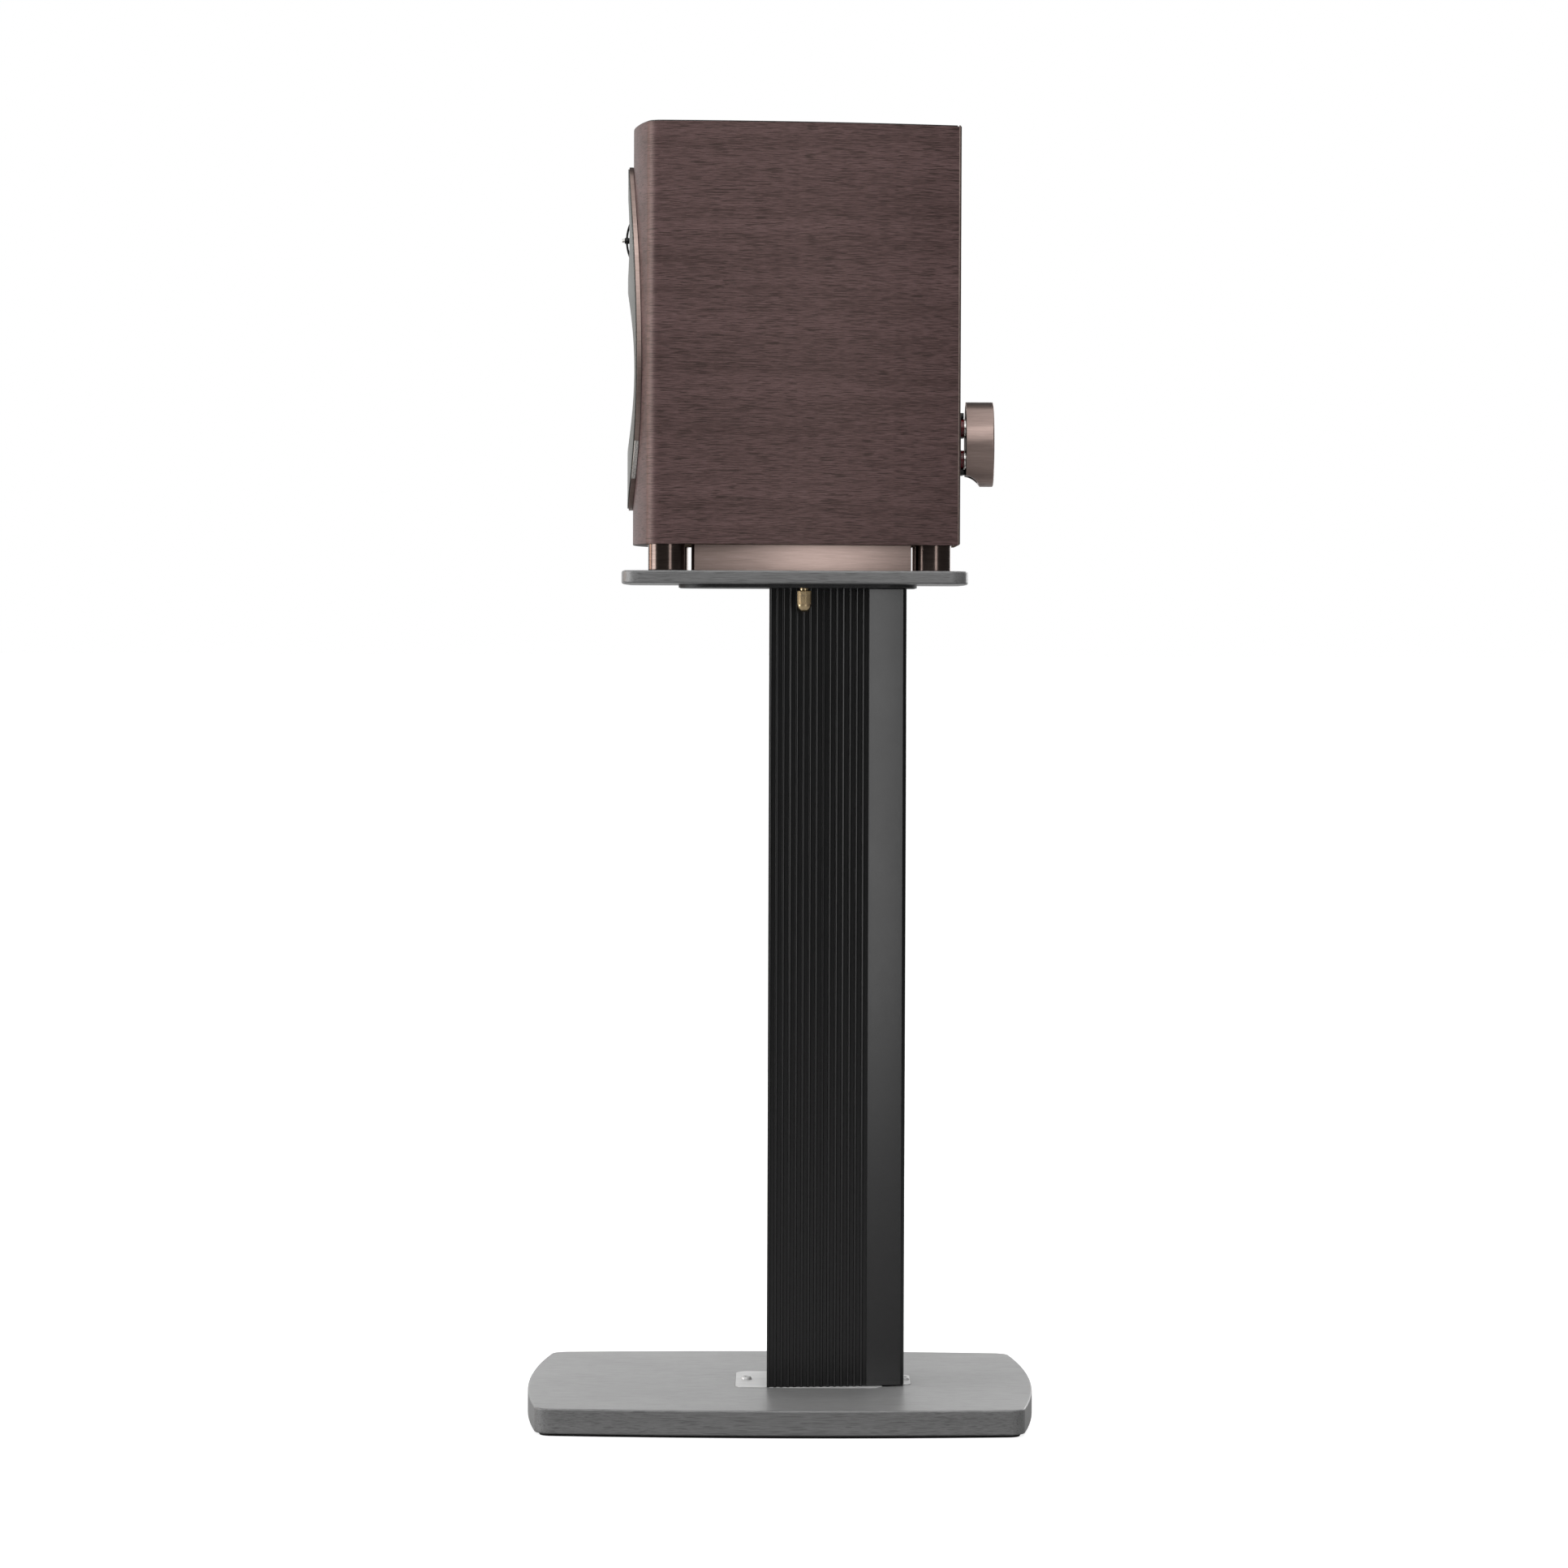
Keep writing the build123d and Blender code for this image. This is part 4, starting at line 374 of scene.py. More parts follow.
def make_finishes(colours):
    """Every material slot's recipe."""
    black = tint(24, 24, 25), tint(40, 40, 41)
    red = tuple(0.55 * level for level in colours.red_ring[:3]) + (1.0,), tuple(colours.red_ring)
    bronze = tuple(colours.bronze)
    deep_bronze = tuple(0.72 * level for level in bronze[:3]) + (1.0,)
    grey = tuple(colours.stand_grey)
    deep_grey = tuple(0.72 * level for level in grey[:3]) + (1.0,)
    white = tint(236, 232, 226)
    all_ways = (1, 1, 1)
    recipes = {
        "veneer": dict(pattern="grain", scale=1500, stretch=(0.045, 0.045, 1),
                       dark=tuple(colours.veneer_dark), light=tuple(colours.veneer_light),
                       accent=tint(22, 13, 13), accent_share=0.85, rough=(0.4, 0.52),
                       bump=(0.25, 0.0002), specular=0.6, shine_tint=(1.0, 0.74, 0.66, 1)),
        "board": dict(pattern="speckle", scale=900, stretch=all_ways, dark=tint(126, 98, 70),
                      light=tint(170, 140, 104), accent=tint(92, 66, 44), rough=(0.75, 0.9),
                      bump=(0.4, 0.0003)),
        "top_leather": dict(pattern="speckle", scale=700, stretch=all_ways, dark=tint(22, 21, 21),
                            light=tint(44, 42, 42), accent=tint(66, 63, 62), rough=(0.5, 0.68),
                            bump=(0.5, 0.0005), sheen=0.1),
        "bronze": dict(pattern="lines", scale=900, stretch=(0.05, 0.05, 1), dark=deep_bronze,
                       light=bronze, accent=white, accent_share=0.12, rough=(0.27, 0.36),
                       bump=(0.08, 0.0001), metallic=1.0, dust=0.02),
        "fascia": dict(pattern="speckle", scale=1600, stretch=all_ways, dark=tint(70, 72, 70),
                       light=tint(98, 101, 98), accent=tint(130, 132, 129), accent_share=0.3,
                       rough=(0.34, 0.48), bump=(0.2, 0.0002), metallic=0.35),
        "plaque": dict(pattern="speckle", scale=2200, stretch=all_ways, dark=tint(160, 158, 154),
                       light=tint(232, 230, 226), accent=white, rough=(0.25, 0.45),
                       bump=(0.6, 0.0003), metallic=0.9),
        "stand_board": dict(pattern="grain", scale=1200, stretch=(1, 0.04, 1), dark=deep_grey,
                            light=grey, accent=tint(56, 56, 56), accent_share=0.4,
                            rough=(0.3, 0.42), bump=(0.15, 0.0002), dust=0.06),
        "black_steel": dict(pattern="speckle", scale=1500, stretch=all_ways, dark=black[0],
                            light=black[1], accent=tint(64, 64, 64), rough=(0.4, 0.55),
                            bump=(0.25, 0.0002)),
        "flange_steel": dict(pattern="lines", scale=1000, stretch=(1, 0.05, 1),
                             dark=tint(184, 184, 184), light=tint(214, 214, 213), accent=white,
                             accent_share=0.2, rough=(0.35, 0.5), bump=(0.1, 0.0001), metallic=0.3),
        "column": dict(pattern="speckle", scale=1500, stretch=all_ways, dark=tint(9, 9, 10),
                       light=tint(18, 18, 19), accent=tint(30, 30, 30), accent_share=0.15,
                       rough=(0.19, 0.25), bump=(0.02, 0.0001), dust=0.0),
        "pad": dict(pattern="speckle", scale=1000, stretch=all_ways, dark=tint(18, 18, 18),
                    light=tint(34, 34, 34), accent=tint(48, 48, 48), rough=(0.7, 0.85),
                    bump=(0.4, 0.0003)),
        "brass": dict(pattern="lines", scale=1500, stretch=(0.15, 0.15, 1),
                      dark=tuple(0.7 * level for level in colours.brass[:3]) + (1.0,),
                      light=tuple(colours.brass), accent=tint(120, 84, 44), accent_share=0.25,
                      rough=(0.2, 0.34), bump=(0.12, 0.0001), metallic=1.0, dust=0.0),
        "screw_steel": dict(pattern="lines", scale=2500, stretch=all_ways, dark=tint(48, 48, 50),
                            light=tint(86, 86, 88), accent=tint(140, 140, 140), rough=(0.3, 0.45),
                            bump=(0.15, 0.0001), metallic=0.9, dust=0.02),
        "black_plastic": dict(pattern="speckle", scale=1800, stretch=all_ways, dark=tint(20, 20, 21),
                              light=tint(36, 36, 37), accent=tint(58, 58, 58), rough=(0.42, 0.6),
                              bump=(0.3, 0.0002)),
        "nickel": dict(pattern="lines", scale=1800, stretch=(1, 0.2, 1), dark=tint(196, 194, 190),
                       light=tint(238, 236, 232), accent=white, accent_share=0.2,
                       rough=(0.1, 0.2), bump=(0.05, 0.0001), metallic=1.0, dust=0.0),
        "insulator": dict(pattern="speckle", scale=1500, stretch=all_ways, dark=black[0],
                          light=black[1], accent=tint(60, 50, 50), accent_share=0.1,
                          rough=(0.22, 0.34), bump=(0.06, 0.0001), coat=0.3,
                          second=(0, 0.0, red[0], red[1])),
        "cone": dict(pattern="weave", scale=2600, stretch=all_ways, dark=tint(26, 26, 28),
                     light=tint(86, 86, 90), accent=tint(120, 120, 122), accent_share=0.2,
                     rough=(0.3, 0.46), bump=(0.5, 0.0003), coat=0.35, coat_rough=0.2),
        "surround": dict(pattern="speckle", scale=1400, stretch=all_ways, dark=tint(20, 20, 20),
                         light=tint(32, 32, 32), accent=tint(44, 44, 44), rough=(0.46, 0.6),
                         bump=(0.2, 0.0002)),
        "spider": dict(pattern="weave", scale=2600, stretch=all_ways, dark=tint(150, 118, 62),
                       light=tint(196, 164, 98), accent=tint(110, 82, 40), rough=(0.7, 0.85),
                       bump=(0.6, 0.0003), sheen=0.2),
        "basket": dict(pattern="speckle", scale=900, stretch=all_ways, dark=tint(30, 30, 31),
                       light=tint(52, 52, 53), accent=tint(72, 72, 72), rough=(0.38, 0.52),
                       bump=(0.35, 0.0003), metallic=0.3),
        "motor_steel": dict(pattern="lines", scale=900, stretch=(1, 0.2, 1), dark=tint(138, 138, 134),
                            light=tint(196, 196, 190), accent=tint(222, 216, 190), rough=(0.28, 0.42),
                            bump=(0.1, 0.0002), metallic=0.95),
        "ferrite": dict(pattern="speckle", scale=700, stretch=all_ways, dark=tint(40, 40, 42),
                        light=tint(64, 64, 66), accent=tint(90, 88, 86), rough=(0.6, 0.8),
                        bump=(0.5, 0.0005)),
        "coil_copper": dict(pattern="lines", scale=1300, stretch=(0.1, 1, 0.1), dark=tint(140, 74, 40),
                            light=tint(212, 130, 84), accent=tint(240, 180, 140), rough=(0.25, 0.4),
                            bump=(0.5, 0.0003), metallic=0.9),
        "dome": dict(pattern="weave", scale=9000, stretch=all_ways, dark=tint(22, 22, 25),
                     light=tint(40, 40, 45), accent=tint(52, 52, 58), rough=(0.4, 0.55),
                     bump=(0.3, 0.0001), sheen=0.3),
        "tweeter_black": dict(pattern="speckle", scale=1700, stretch=all_ways, dark=tint(24, 24, 25),
                              light=tint(44, 44, 45), accent=tint(70, 70, 70), accent_share=0.2,
                              rough=(0.32, 0.45), bump=(0.15, 0.0002), metallic=0.4),
        "circuit_board": dict(pattern="lines", scale=500, stretch=(1, 1, 0.3), dark=tint(20, 70, 42),
                              light=tint(30, 98, 58), accent=tint(180, 150, 70), accent_share=0.35,
                              rough=(0.35, 0.5), bump=(0.2, 0.0002)),
        "capacitor": dict(pattern="lines", scale=400, stretch=(0.1, 1, 1), dark=tint(120, 24, 20),
                          light=tint(176, 44, 36), accent=tint(210, 120, 100), accent_share=0.15,
                          rough=(0.2, 0.32), bump=(0.05, 0.0001), coat=0.3),
        "resistor": dict(pattern="speckle", scale=1400, stretch=all_ways, dark=tint(196, 192, 180),
                         light=tint(228, 224, 214), accent=tint(150, 146, 136), rough=(0.7, 0.85),
                         bump=(0.4, 0.0003)),
        "wire": dict(pattern="speckle", scale=1600, stretch=all_ways, dark=black[0], light=black[1],
                     accent=tint(70, 30, 30), rough=(0.4, 0.55), bump=(0.15, 0.0001),
                     second=(0, 0.0, red[0], red[1])),
        "wadding": dict(pattern="speckle", scale=350, stretch=all_ways, dark=tint(196, 194, 188),
                        light=tint(240, 239, 235), accent=tint(160, 158, 150), rough=(0.9, 1.0),
                        bump=(0.9, 0.002), sheen=0.5),
    }
    return {slot: finish(slot, **recipe) for slot, recipe in recipes.items()}


FINISH = {}


# ---------------------------------------------------------------- mesh tools
def settle(mesh_work, name, nodes, body="root", slot=None, crease=32):
    """Turn finished mesh work into a piece that stands for frame nodes."""
    mesh = bpy.data.meshes.new(name)
    mesh_work.to_mesh(mesh)
    mesh_work.free()
    for polygon in mesh.polygons:
        polygon.use_smooth = True
    mesh.set_sharp_from_angle(angle=radians(crease))
    piece = bpy.data.objects.new(name, mesh)
    bpy.context.scene.collection.objects.link(piece)
    slot = slot or SLOT_OF[nodes[0]]
    mesh.materials.append(FINISH[slot])
    evened = piece.modifiers.new("Even shading", "WEIGHTED_NORMAL")
    evened.keep_sharp = True
    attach(piece, body)
    if nodes:
        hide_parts(*nodes)
    return piece


def ease(work, width, segments=2, angle=28):
    """Round every edge sharper than an angle."""
    sharp = [edge for edge in work.edges
             if len(edge.link_faces) == 2 and edge.calc_face_angle(0) > radians(angle)]
    bmesh.ops.bevel(work, geom=sharp, offset=width, offset_type="OFFSET", segments=segments,
                    profile=0.5, affect="EDGES", clamp_overlap=True, material=-1)


def traced(node, width, segments=2, angle=28):
    """Mesh work from a frame node, merged, with its edges eased."""
    work = bmesh.new()
    work.from_mesh(frame["nodes"][node].data)
    bmesh.ops.remove_doubles(work, verts=work.verts, dist=1e-6)
    bmesh.ops.dissolve_limit(work, angle_limit=radians(0.6), verts=work.verts, edges=work.edges)
    if width:
        ease(work, width, segments, angle)
    return work


def lathe(outlines, centre, axis="Y", steps=128, eased=0.0):
    """Spin closed outlines of (radius, place along the axis) points, in metres."""
    work = bmesh.new()
    for outline in outlines:
        points = [work.verts.new((radius, 0, along)) for radius, along in outline]
        rim = [work.edges.new(pair) for pair in zip(points, points[1:] + points[:1])]
        bmesh.ops.spin(work, geom=points + rim, axis=(0, 0, 1), cent=(0, 0, 0), steps=steps,
                       angle=2 * pi, use_merge=True)
    bmesh.ops.remove_doubles(work, verts=work.verts, dist=1e-7)
    bmesh.ops.dissolve_degenerate(work, edges=work.edges, dist=1e-7)
    loose = [edge for edge in work.edges if not edge.link_faces]
    bmesh.ops.delete(work, geom=loose, context="EDGES")
    bmesh.ops.recalc_face_normals(work, faces=work.faces)
    if eased:
        ease(work, eased)
    if axis == "Y":
        bmesh.ops.rotate(work, verts=work.verts, cent=(0, 0, 0),
                         matrix=Matrix.Rotation(-pi / 2, 3, "X"))
    bmesh.ops.translate(work, verts=work.verts, vec=Vector(centre))
    return work


def arc(centre, radius, start, end, count):
    """Points of an arc in an outline, in metres and degrees."""
    return [(centre[0] + radius * cos(radians(start + (end - start) * i / count)),
             centre[1] + radius * sin(radians(start + (end - start) * i / count)))
            for i in range(count + 1)]


def dome(rim, apex, thickness, count=20):
    """Closed outline of a thin dome: rim is (radius, place), apex its place on the axis."""
    rise = rim[1] - apex
    ball = (rim[0] ** 2 + rise ** 2) / (2 * rise)
    outer, inner = [], []
    for i in range(count + 1):
        radius = rim[0] * i / count
        outer.append((radius, apex + ball - (ball ** 2 - radius ** 2) ** 0.5))
        radius *= (rim[0] - thickness) / rim[0]
        inner.append((radius, apex + thickness + ball - (ball ** 2 - radius ** 2) ** 0.5))
    return outer + inner[::-1]


def joined(parts):
    """Several pieces of mesh work as one."""
    whole = bmesh.new()
    for part in parts:
        step = bpy.data.meshes.new("step")
        part.to_mesh(step)
        part.free()
        whole.from_mesh(step)
        bpy.data.meshes.remove(step)
    return whole


def radial_blend(piece):
    """Take a ring off its body and bake its placement into its mesh."""
    piece.parent = None
    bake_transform(piece)


def socket_screw(place, head_r, head_h, shank_r, length, way, axis):
    """Button-head screw with a six-sided socket; way is +1 where the head points up the axis."""
    socket_r, well = 0.52 * head_r, 0.6 * head_h
    outline = [(0, -length), (shank_r, -length), (shank_r, 0), (head_r, 0),
               (head_r, 0.35 * head_h), (0.86 * head_r, 0.8 * head_h), (0.66 * head_r, head_h),
               (socket_r, head_h), (socket_r, head_h - well), (0, head_h - well)]
    socket = [(socket_r * 1.02, head_h - 0.08 * head_h), (socket_r * 0.86, head_h - 0.16 * head_h),
              (socket_r * 0.86, head_h - well - 0.02 * head_h),
              (socket_r * 1.02, head_h - well - 0.02 * head_h)]
    turned = [[(radius, way * along) for radius, along in line] for line in (outline, socket)]
    return joined([lathe(turned[:1], place, axis, 32), lathe(turned[1:], place, axis, 6)])


# ------------------------------------------------------------------ operators
class SpeakerOperator(bpy.types.Operator):
    """Shared settings of the speaker's operators."""

    bl_options = {"REGISTER", "UNDO"}

    @property
    def sizes(self):
        """Small sizes from the sidebar."""
        return bpy.context.scene.speaker_sizes

    def execute(self, context):
        """Build, and say so."""
        self.build(context)
        return {"FINISHED"}


class SPEAKER_OT_finishes(SpeakerOperator):
    """Build the finishes and give them to the frame's own parts"""

    bl_idname = "speaker.finishes"
    bl_label = "Finishes"

    def build(self, context):
        FINISH.update(make_finishes(context.scene.speaker_colours))
        for node, shown in frame["nodes"].items():
            material = FINISH[SLOT_OF[node]]
            if shown.material_slots:
                for slot in shown.material_slots:
                    slot.material = material
            else:
                shown.data.materials.append(material)


class SPEAKER_OT_cabinet(SpeakerOperator):
    """Ease the cabinet's veneered wrap, top cap and rear plate"""

    bl_idname = "speaker.cabinet"
    bl_label = "Cabinet"

    def build(self, context):
        edge = self.sizes.edge
        for node, share in (("cabinet_wrap", 1.2), ("top_panel", 0.7), ("bottom_panel", 1.0),
                            ("rear_trim_plate", 0.5), ("rear_panel", 0.5)):
            settle(traced(node, share * edge), f"{node}_eased", [node])


class SPEAKER_OT_front_plate(SpeakerOperator):
    """Ease the bowed front plate, its fascia and the side plaques"""

    bl_idname = "speaker.front_plate"
    bl_label = "Front plate"

    def build(self, context):
        edge = self.sizes.edge
        for node, share in (("front_plate", 1.0), ("front_fascia", 0.4), ("side_plaques", 0.4)):
            settle(traced(node, share * edge, 3), f"{node}_eased", [node])


class SPEAKER_OT_woofer(SpeakerOperator):
    """Turn the woofer's cone, cap and roll surround, and both drivers' screws"""

    bl_idname = "speaker.woofer"
    bl_label = "Woofer"

    def build(self, context):
        steps = self.sizes.steps
        low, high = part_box("woofer_cone")
        face = Vector((0, low.y, middle("woofer_cone").z))
        rim = (high.x - low.x) / 2
        cone = [(rim, 0), (rim, 1.1 * MM)]
        cone += [(COIL_R + (rim - COIL_R) * (1 - i / 12), (1.1 + 17.9 * (i / 12) ** 1.06) * MM)
                 for i in range(1, 13)]
        cone += [(COIL_R + (CONE_LIP_R - COIL_R) * i / 12, (17.8 - 17.2 * (i / 12) ** 0.96) * MM)
                 for i in range(13)]
        cone += [(49.6 * MM, 0)]
        settle(lathe([cone], face, steps=steps), "woofer_cone_woven", ["woofer_cone"],
               "woofer_moving")
        settle(lathe([dome((20 * MM, 15.8 * MM), 8.5 * MM, 0.6 * MM)], face, steps=steps),
               "woofer_cap_pressed", ["woofer_dust_cap"], "woofer_moving")
        over = arc((ROLL_CENTRE_R, 0), 4.3 * MM, 180, 360, 24)
        under = arc((ROLL_CENTRE_R, 0), 3.6 * MM, 360, 180, 24)
        outline = over[:20] + [(58.5 * MM, -0.75 * MM), (60.4 * MM, -0.7 * MM), (60.6 * MM, -0.5 * MM),
                               (60.6 * MM, 0)] + under
        surround = settle(lathe([outline], face, steps=steps), "woofer_surround_moulded",
                          ["woofer_surround"])
        radial_blend(surround)
        spider = settle(traced("woofer_spider", 0), "woofer_spider_waved", ["woofer_spider"])
        radial_blend(spider)
        settle(traced("woofer_basket", 0.3 * MM), "woofer_basket_cast", ["woofer_basket"])
        screws = []
        for i in range(6):
            place = face + WOOFER_SCREW_CIRCLE * Vector((cos(i * pi / 3), 0, sin(i * pi / 3)))
            screws.append(socket_screw(place, *DRIVER_SCREW, -1, "Y"))
        tweeter = middle("tweeter_faceplate")
        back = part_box("driver_screws")[1].y - 1.6 * MM
        for i in range(3):
            turn = radians(90 + 120 * i)
            place = Vector((TWEETER_SCREW_CIRCLE * cos(turn), back,
                            tweeter.z + TWEETER_SCREW_CIRCLE * sin(turn)))
            screws.append(socket_screw(place, *DRIVER_SCREW, 1, "Y"))
        settle(joined(screws), "driver_screws_socket", ["driver_screws"])


class SPEAKER_OT_tweeter(SpeakerOperator):
    """Turn the tweeter's waveguide, dome and roll, and ease its bridge"""

    bl_idname = "speaker.tweeter"
    bl_label = "Tweeter"

    def build(self, context):
        steps = self.sizes.steps
        low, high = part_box("tweeter_faceplate")
        face = Vector((0, low.y, middle("tweeter_faceplate").z))
        outer, depth = (high.x - low.x) / 2, high.y - low.y
        flare = []
        for i in range(25):
            share = i / 24
            radius = 33.2 - 16.6 * share
            flare.append((radius * MM, 5.6 * share ** 0.78 * MM))
        for i in (18, 20, 22):
            radius, place = flare[i]
            flare[i] = (radius, place - 0.12 * MM)
        outline = flare + [(16.6 * MM, depth), (outer, depth), (outer, 0.35 * MM),
                           (outer - 0.35 * MM, 0)]
        settle(lathe([outline], face, steps=steps), "tweeter_waveguide", ["tweeter_faceplate"])
        apex, rim = 0.3 * MM, (14 * MM, 6.3 * MM)
        cap = dome(rim, apex, 0.4 * MM)
        skirt = [(14 * MM, 17 * MM), (13.6 * MM, 17 * MM)]
        half = len(cap) // 2
        settle(lathe([cap[:half] + skirt + cap[half:]], face, steps=steps), "tweeter_dome_soft",
               ["tweeter_dome"], "tweeter_moving")
        roll = (15.3 * MM, 6.3 * MM)
        outline = arc(roll, 1.3 * MM, 180, 360, 12) + arc(roll, 1.0 * MM, 360, 180, 12)
        surround = settle(lathe([outline], face, steps=steps), "tweeter_roll", ["tweeter_surround"])
        radial_blend(surround)
        bridge = settle(traced("tweeter_bridge", 0.25 * MM), "tweeter_bridge_eased",
                        ["tweeter_bridge"])
        shown = finish("bridge_and_tip", "speckle", 1700, (1, 1, 1), tint(196, 194, 190),
                       tint(236, 234, 230), tint(120, 120, 120), (0.22, 0.34), (0.1, 0.0001),
                       accent_share=0.1, metallic=0.8,
                       second=(1, -132.6 * MM, tint(24, 24, 25), tint(42, 42, 43)))
        bridge.data.materials[0] = shown


class SPEAKER_OT_plinth(SpeakerOperator):
    """Turn the plinth's pillars and ease its blades"""

    bl_idname = "speaker.plinth"
    bl_label = "Plinth"

    def build(self, context):
        low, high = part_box("plinth_pillars")
        base, height, radius = low.z, high.z - low.z, PILLAR_R
        pillars = []
        for x, y in PILLARS:
            outline = [(0, 0), (radius - 0.6 * MM, 0), (radius, 0.6 * MM), (radius, height),
                       (3 * MM, height), (3 * MM, height - 12 * MM), (0, height - 12 * MM)]
            pillars.append(lathe([outline], (x * MM, y * MM, base), "Z", 96, 0.25 * MM))
        turned = settle(joined(pillars), "plinth_pillars_turned", ["plinth_pillars"])
        # The pillars get a darker copy of the bronze: painted shade standing in for the dim reflections
        # they catch.
        turned.data.materials[0] = finish(
            "pillar_bronze_painted_shade", "lines", 1200, (0.05, 0.05, 1), tint(82, 71, 67), tint(104, 91, 86),
            tint(160, 146, 140), (0.15, 0.22), (0.04, 0.0001), accent_share=0.1, metallic=1.0)
        settle(traced("plinth_blades", 0.4 * MM), "plinth_blades_eased", ["plinth_blades"])


class SPEAKER_OT_stand(SpeakerOperator):
    """Ease the stand's plates and column, and set the foot flange's screws"""

    bl_idname = "speaker.stand"
    bl_label = "Stand"

    def build(self, context):
        edge = self.sizes.edge
        for node, share in (("stand_base_plate", 1.6), ("stand_top_plate", 1.4),
                            ("stand_under_plate", 0.8), ("stand_foot_flange", 0.8),
                            ("stand_base_pad", 0.8), ("stand_cable_cover", 0.6)):
            settle(traced(node, share * edge), f"{node}_eased", [node])
        column = traced("stand_column", 0)
        bmesh.ops.dissolve_limit(column, angle_limit=radians(3), verts=column.verts,
                                 edges=column.edges)
        lands = [line for line in column.edges
                 if line.is_convex and line.calc_face_angle(0) > radians(28)
                 and abs(line.verts[0].co.z - line.verts[1].co.z) > 0.1]
        bmesh.ops.bevel(column, geom=lands, offset=1.5 * edge, offset_type="OFFSET", segments=3,
                        profile=0.5, affect="EDGES", clamp_overlap=False, material=-1)
        settle(column, "stand_column_eased", ["stand_column"])
        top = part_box("stand_foot_flange")[1].z
        screws = [socket_screw(Vector((0, y * MM, top)), *FLANGE_SCREW, 1, "Z")
                  for y in (-28, 104)]
        settle(joined(screws), "foot_flange_screws", [], slot="flange_steel")


class SPEAKER_OT_clamps(SpeakerOperator):
    """Cut the diamond knurl on the clamp screws"""

    bl_idname = "speaker.clamps"
    bl_label = "Clamp screws"

    def build(self, context):
        for side in ("left", "right"):
            node = f"clamp_screw_{side}"
            low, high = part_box(node)
            radius = CLAMP_HEAD_R
            start, end = low.z + radius, low.z + radius + 12 * MM
            rows = 60
            grip = [(radius, start + 0.5 * MM + (end - start - 1.0 * MM) * i / rows)
                    for i in range(rows + 1)]
            outline = arc((0, start), radius - 0.1 * MM, -90, -2, 16) + grip
            outline += [(radius - 0.5 * MM, end), (CLAMP_SHANK_R, end),
                        (CLAMP_SHANK_R, high.z - 0.6 * MM),
                        (2.25 * MM, high.z), (0, high.z)]
            place = middle(node)
            work = lathe([outline], (place.x, place.y, 0), "Z", 180)
            around = round(2 * pi * radius / self.sizes.knurl_pitch)
            for vertex in work.verts:
                away = Vector((vertex.co.x - place.x, vertex.co.y - place.y))
                along = vertex.co.z - start
                if abs(away.length - radius) > 1e-5 or not 0.6 * MM < along < 11.4 * MM:
                    continue
                turn = Vector((1, 0)).angle_signed(away)
                swing = 2 * pi * along / (2 * self.sizes.knurl_pitch)
                cut = max(abs(cos(around * turn / 2 + swing)), abs(cos(around * turn / 2 - swing)))
                scale = 1 - self.sizes.knurl_depth * max(0.0, cut - 0.5) * 2 / radius
                vertex.co.x = place.x + away.x * scale
                vertex.co.y = place.y + away.y * scale
            settle(work, f"{node}_knurled", [node], node, crease=50)
            washer = f"clamp_washer_{side}"
            settle(traced(washer, 0.25 * MM), f"{washer}_eased", [washer], washer)


class SPEAKER_OT_terminals(SpeakerOperator):
    """Turn the binding posts' collars and knobs, ease the plate, stems and insulators, and trace the
    ring
    """

    bl_idname = "speaker.terminals"
    bl_label = "Terminals"

    def build(self, context):
        for node, width in (("terminal_ring", 0.0), ("terminal_plate", 0.3), ("post_stems", 0.15),
                            ("post_insulators", 0.3)):
            settle(traced(node, width * MM), f"{node}_eased", [node])
        for name in ("upper_red", "upper_black", "lower_red", "lower_black"):
            collar, knob = f"post_collar_{name}", f"post_knob_{name}"
            low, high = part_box(collar)
            outline = [(POST_BORE_R, 0), (6.5 * MM, 0), (6.5 * MM, high.y - low.y),
                       (POST_BORE_R, high.y - low.y)]
            place = middle(collar)
            settle(lathe([outline], (place.x, low.y, place.z), steps=64, eased=0.3 * MM),
                   f"{collar}_turned", [collar], f"collar_{name}")
            low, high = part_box(knob)
            length, radius = high.y - low.y, POST_KNOB_R
            grip = [(radius, (1.2 + 8.2 * i / 10) * MM) for i in range(11)]
            outline = [(POST_BORE_R, 0), (radius - 0.5 * MM, 0), (radius, 0.5 * MM)] + grip
            outline += [(radius, 9.9 * MM), (radius - 0.45 * MM, 10.2 * MM),
                        (radius - 0.45 * MM, 11.8 * MM), (radius, 12.1 * MM),
                        (radius, length - 0.5 * MM), (radius - 0.5 * MM, length),
                        (3.6 * MM, length), (POST_BORE_R, length - 0.5 * MM)]
            work = lathe([outline], (place.x, low.y, place.z), steps=180)
            for vertex in work.verts:
                away = Vector((vertex.co.x - place.x, vertex.co.z - place.z))
                along = vertex.co.y - low.y
                if abs(away.length - radius) > 1e-5 or not 1.5 * MM < along < 9.2 * MM:
                    continue
                turn = Vector((1, 0)).angle_signed(away)
                cut = max(0.0, cos(self.sizes.flutes * turn)) ** 2
                scale = 1 - 0.45 * MM * cut / radius
                vertex.co.x = place.x + away.x * scale
                vertex.co.z = place.z + away.y * scale
            settle(work, f"{knob}_fluted", [knob], f"knob_{name}", crease=50)
            band = [(radius - 0.5 * MM, 10.3 * MM), (radius - 0.05 * MM, 10.3 * MM),
                    (radius - 0.05 * MM, 11.7 * MM), (radius - 0.5 * MM, 11.7 * MM)]
            settle(lathe([band], (place.x, low.y, place.z), steps=64, eased=0.1 * MM),
                   f"post_band_{name}", [], f"knob_{name}", slot="insulator")


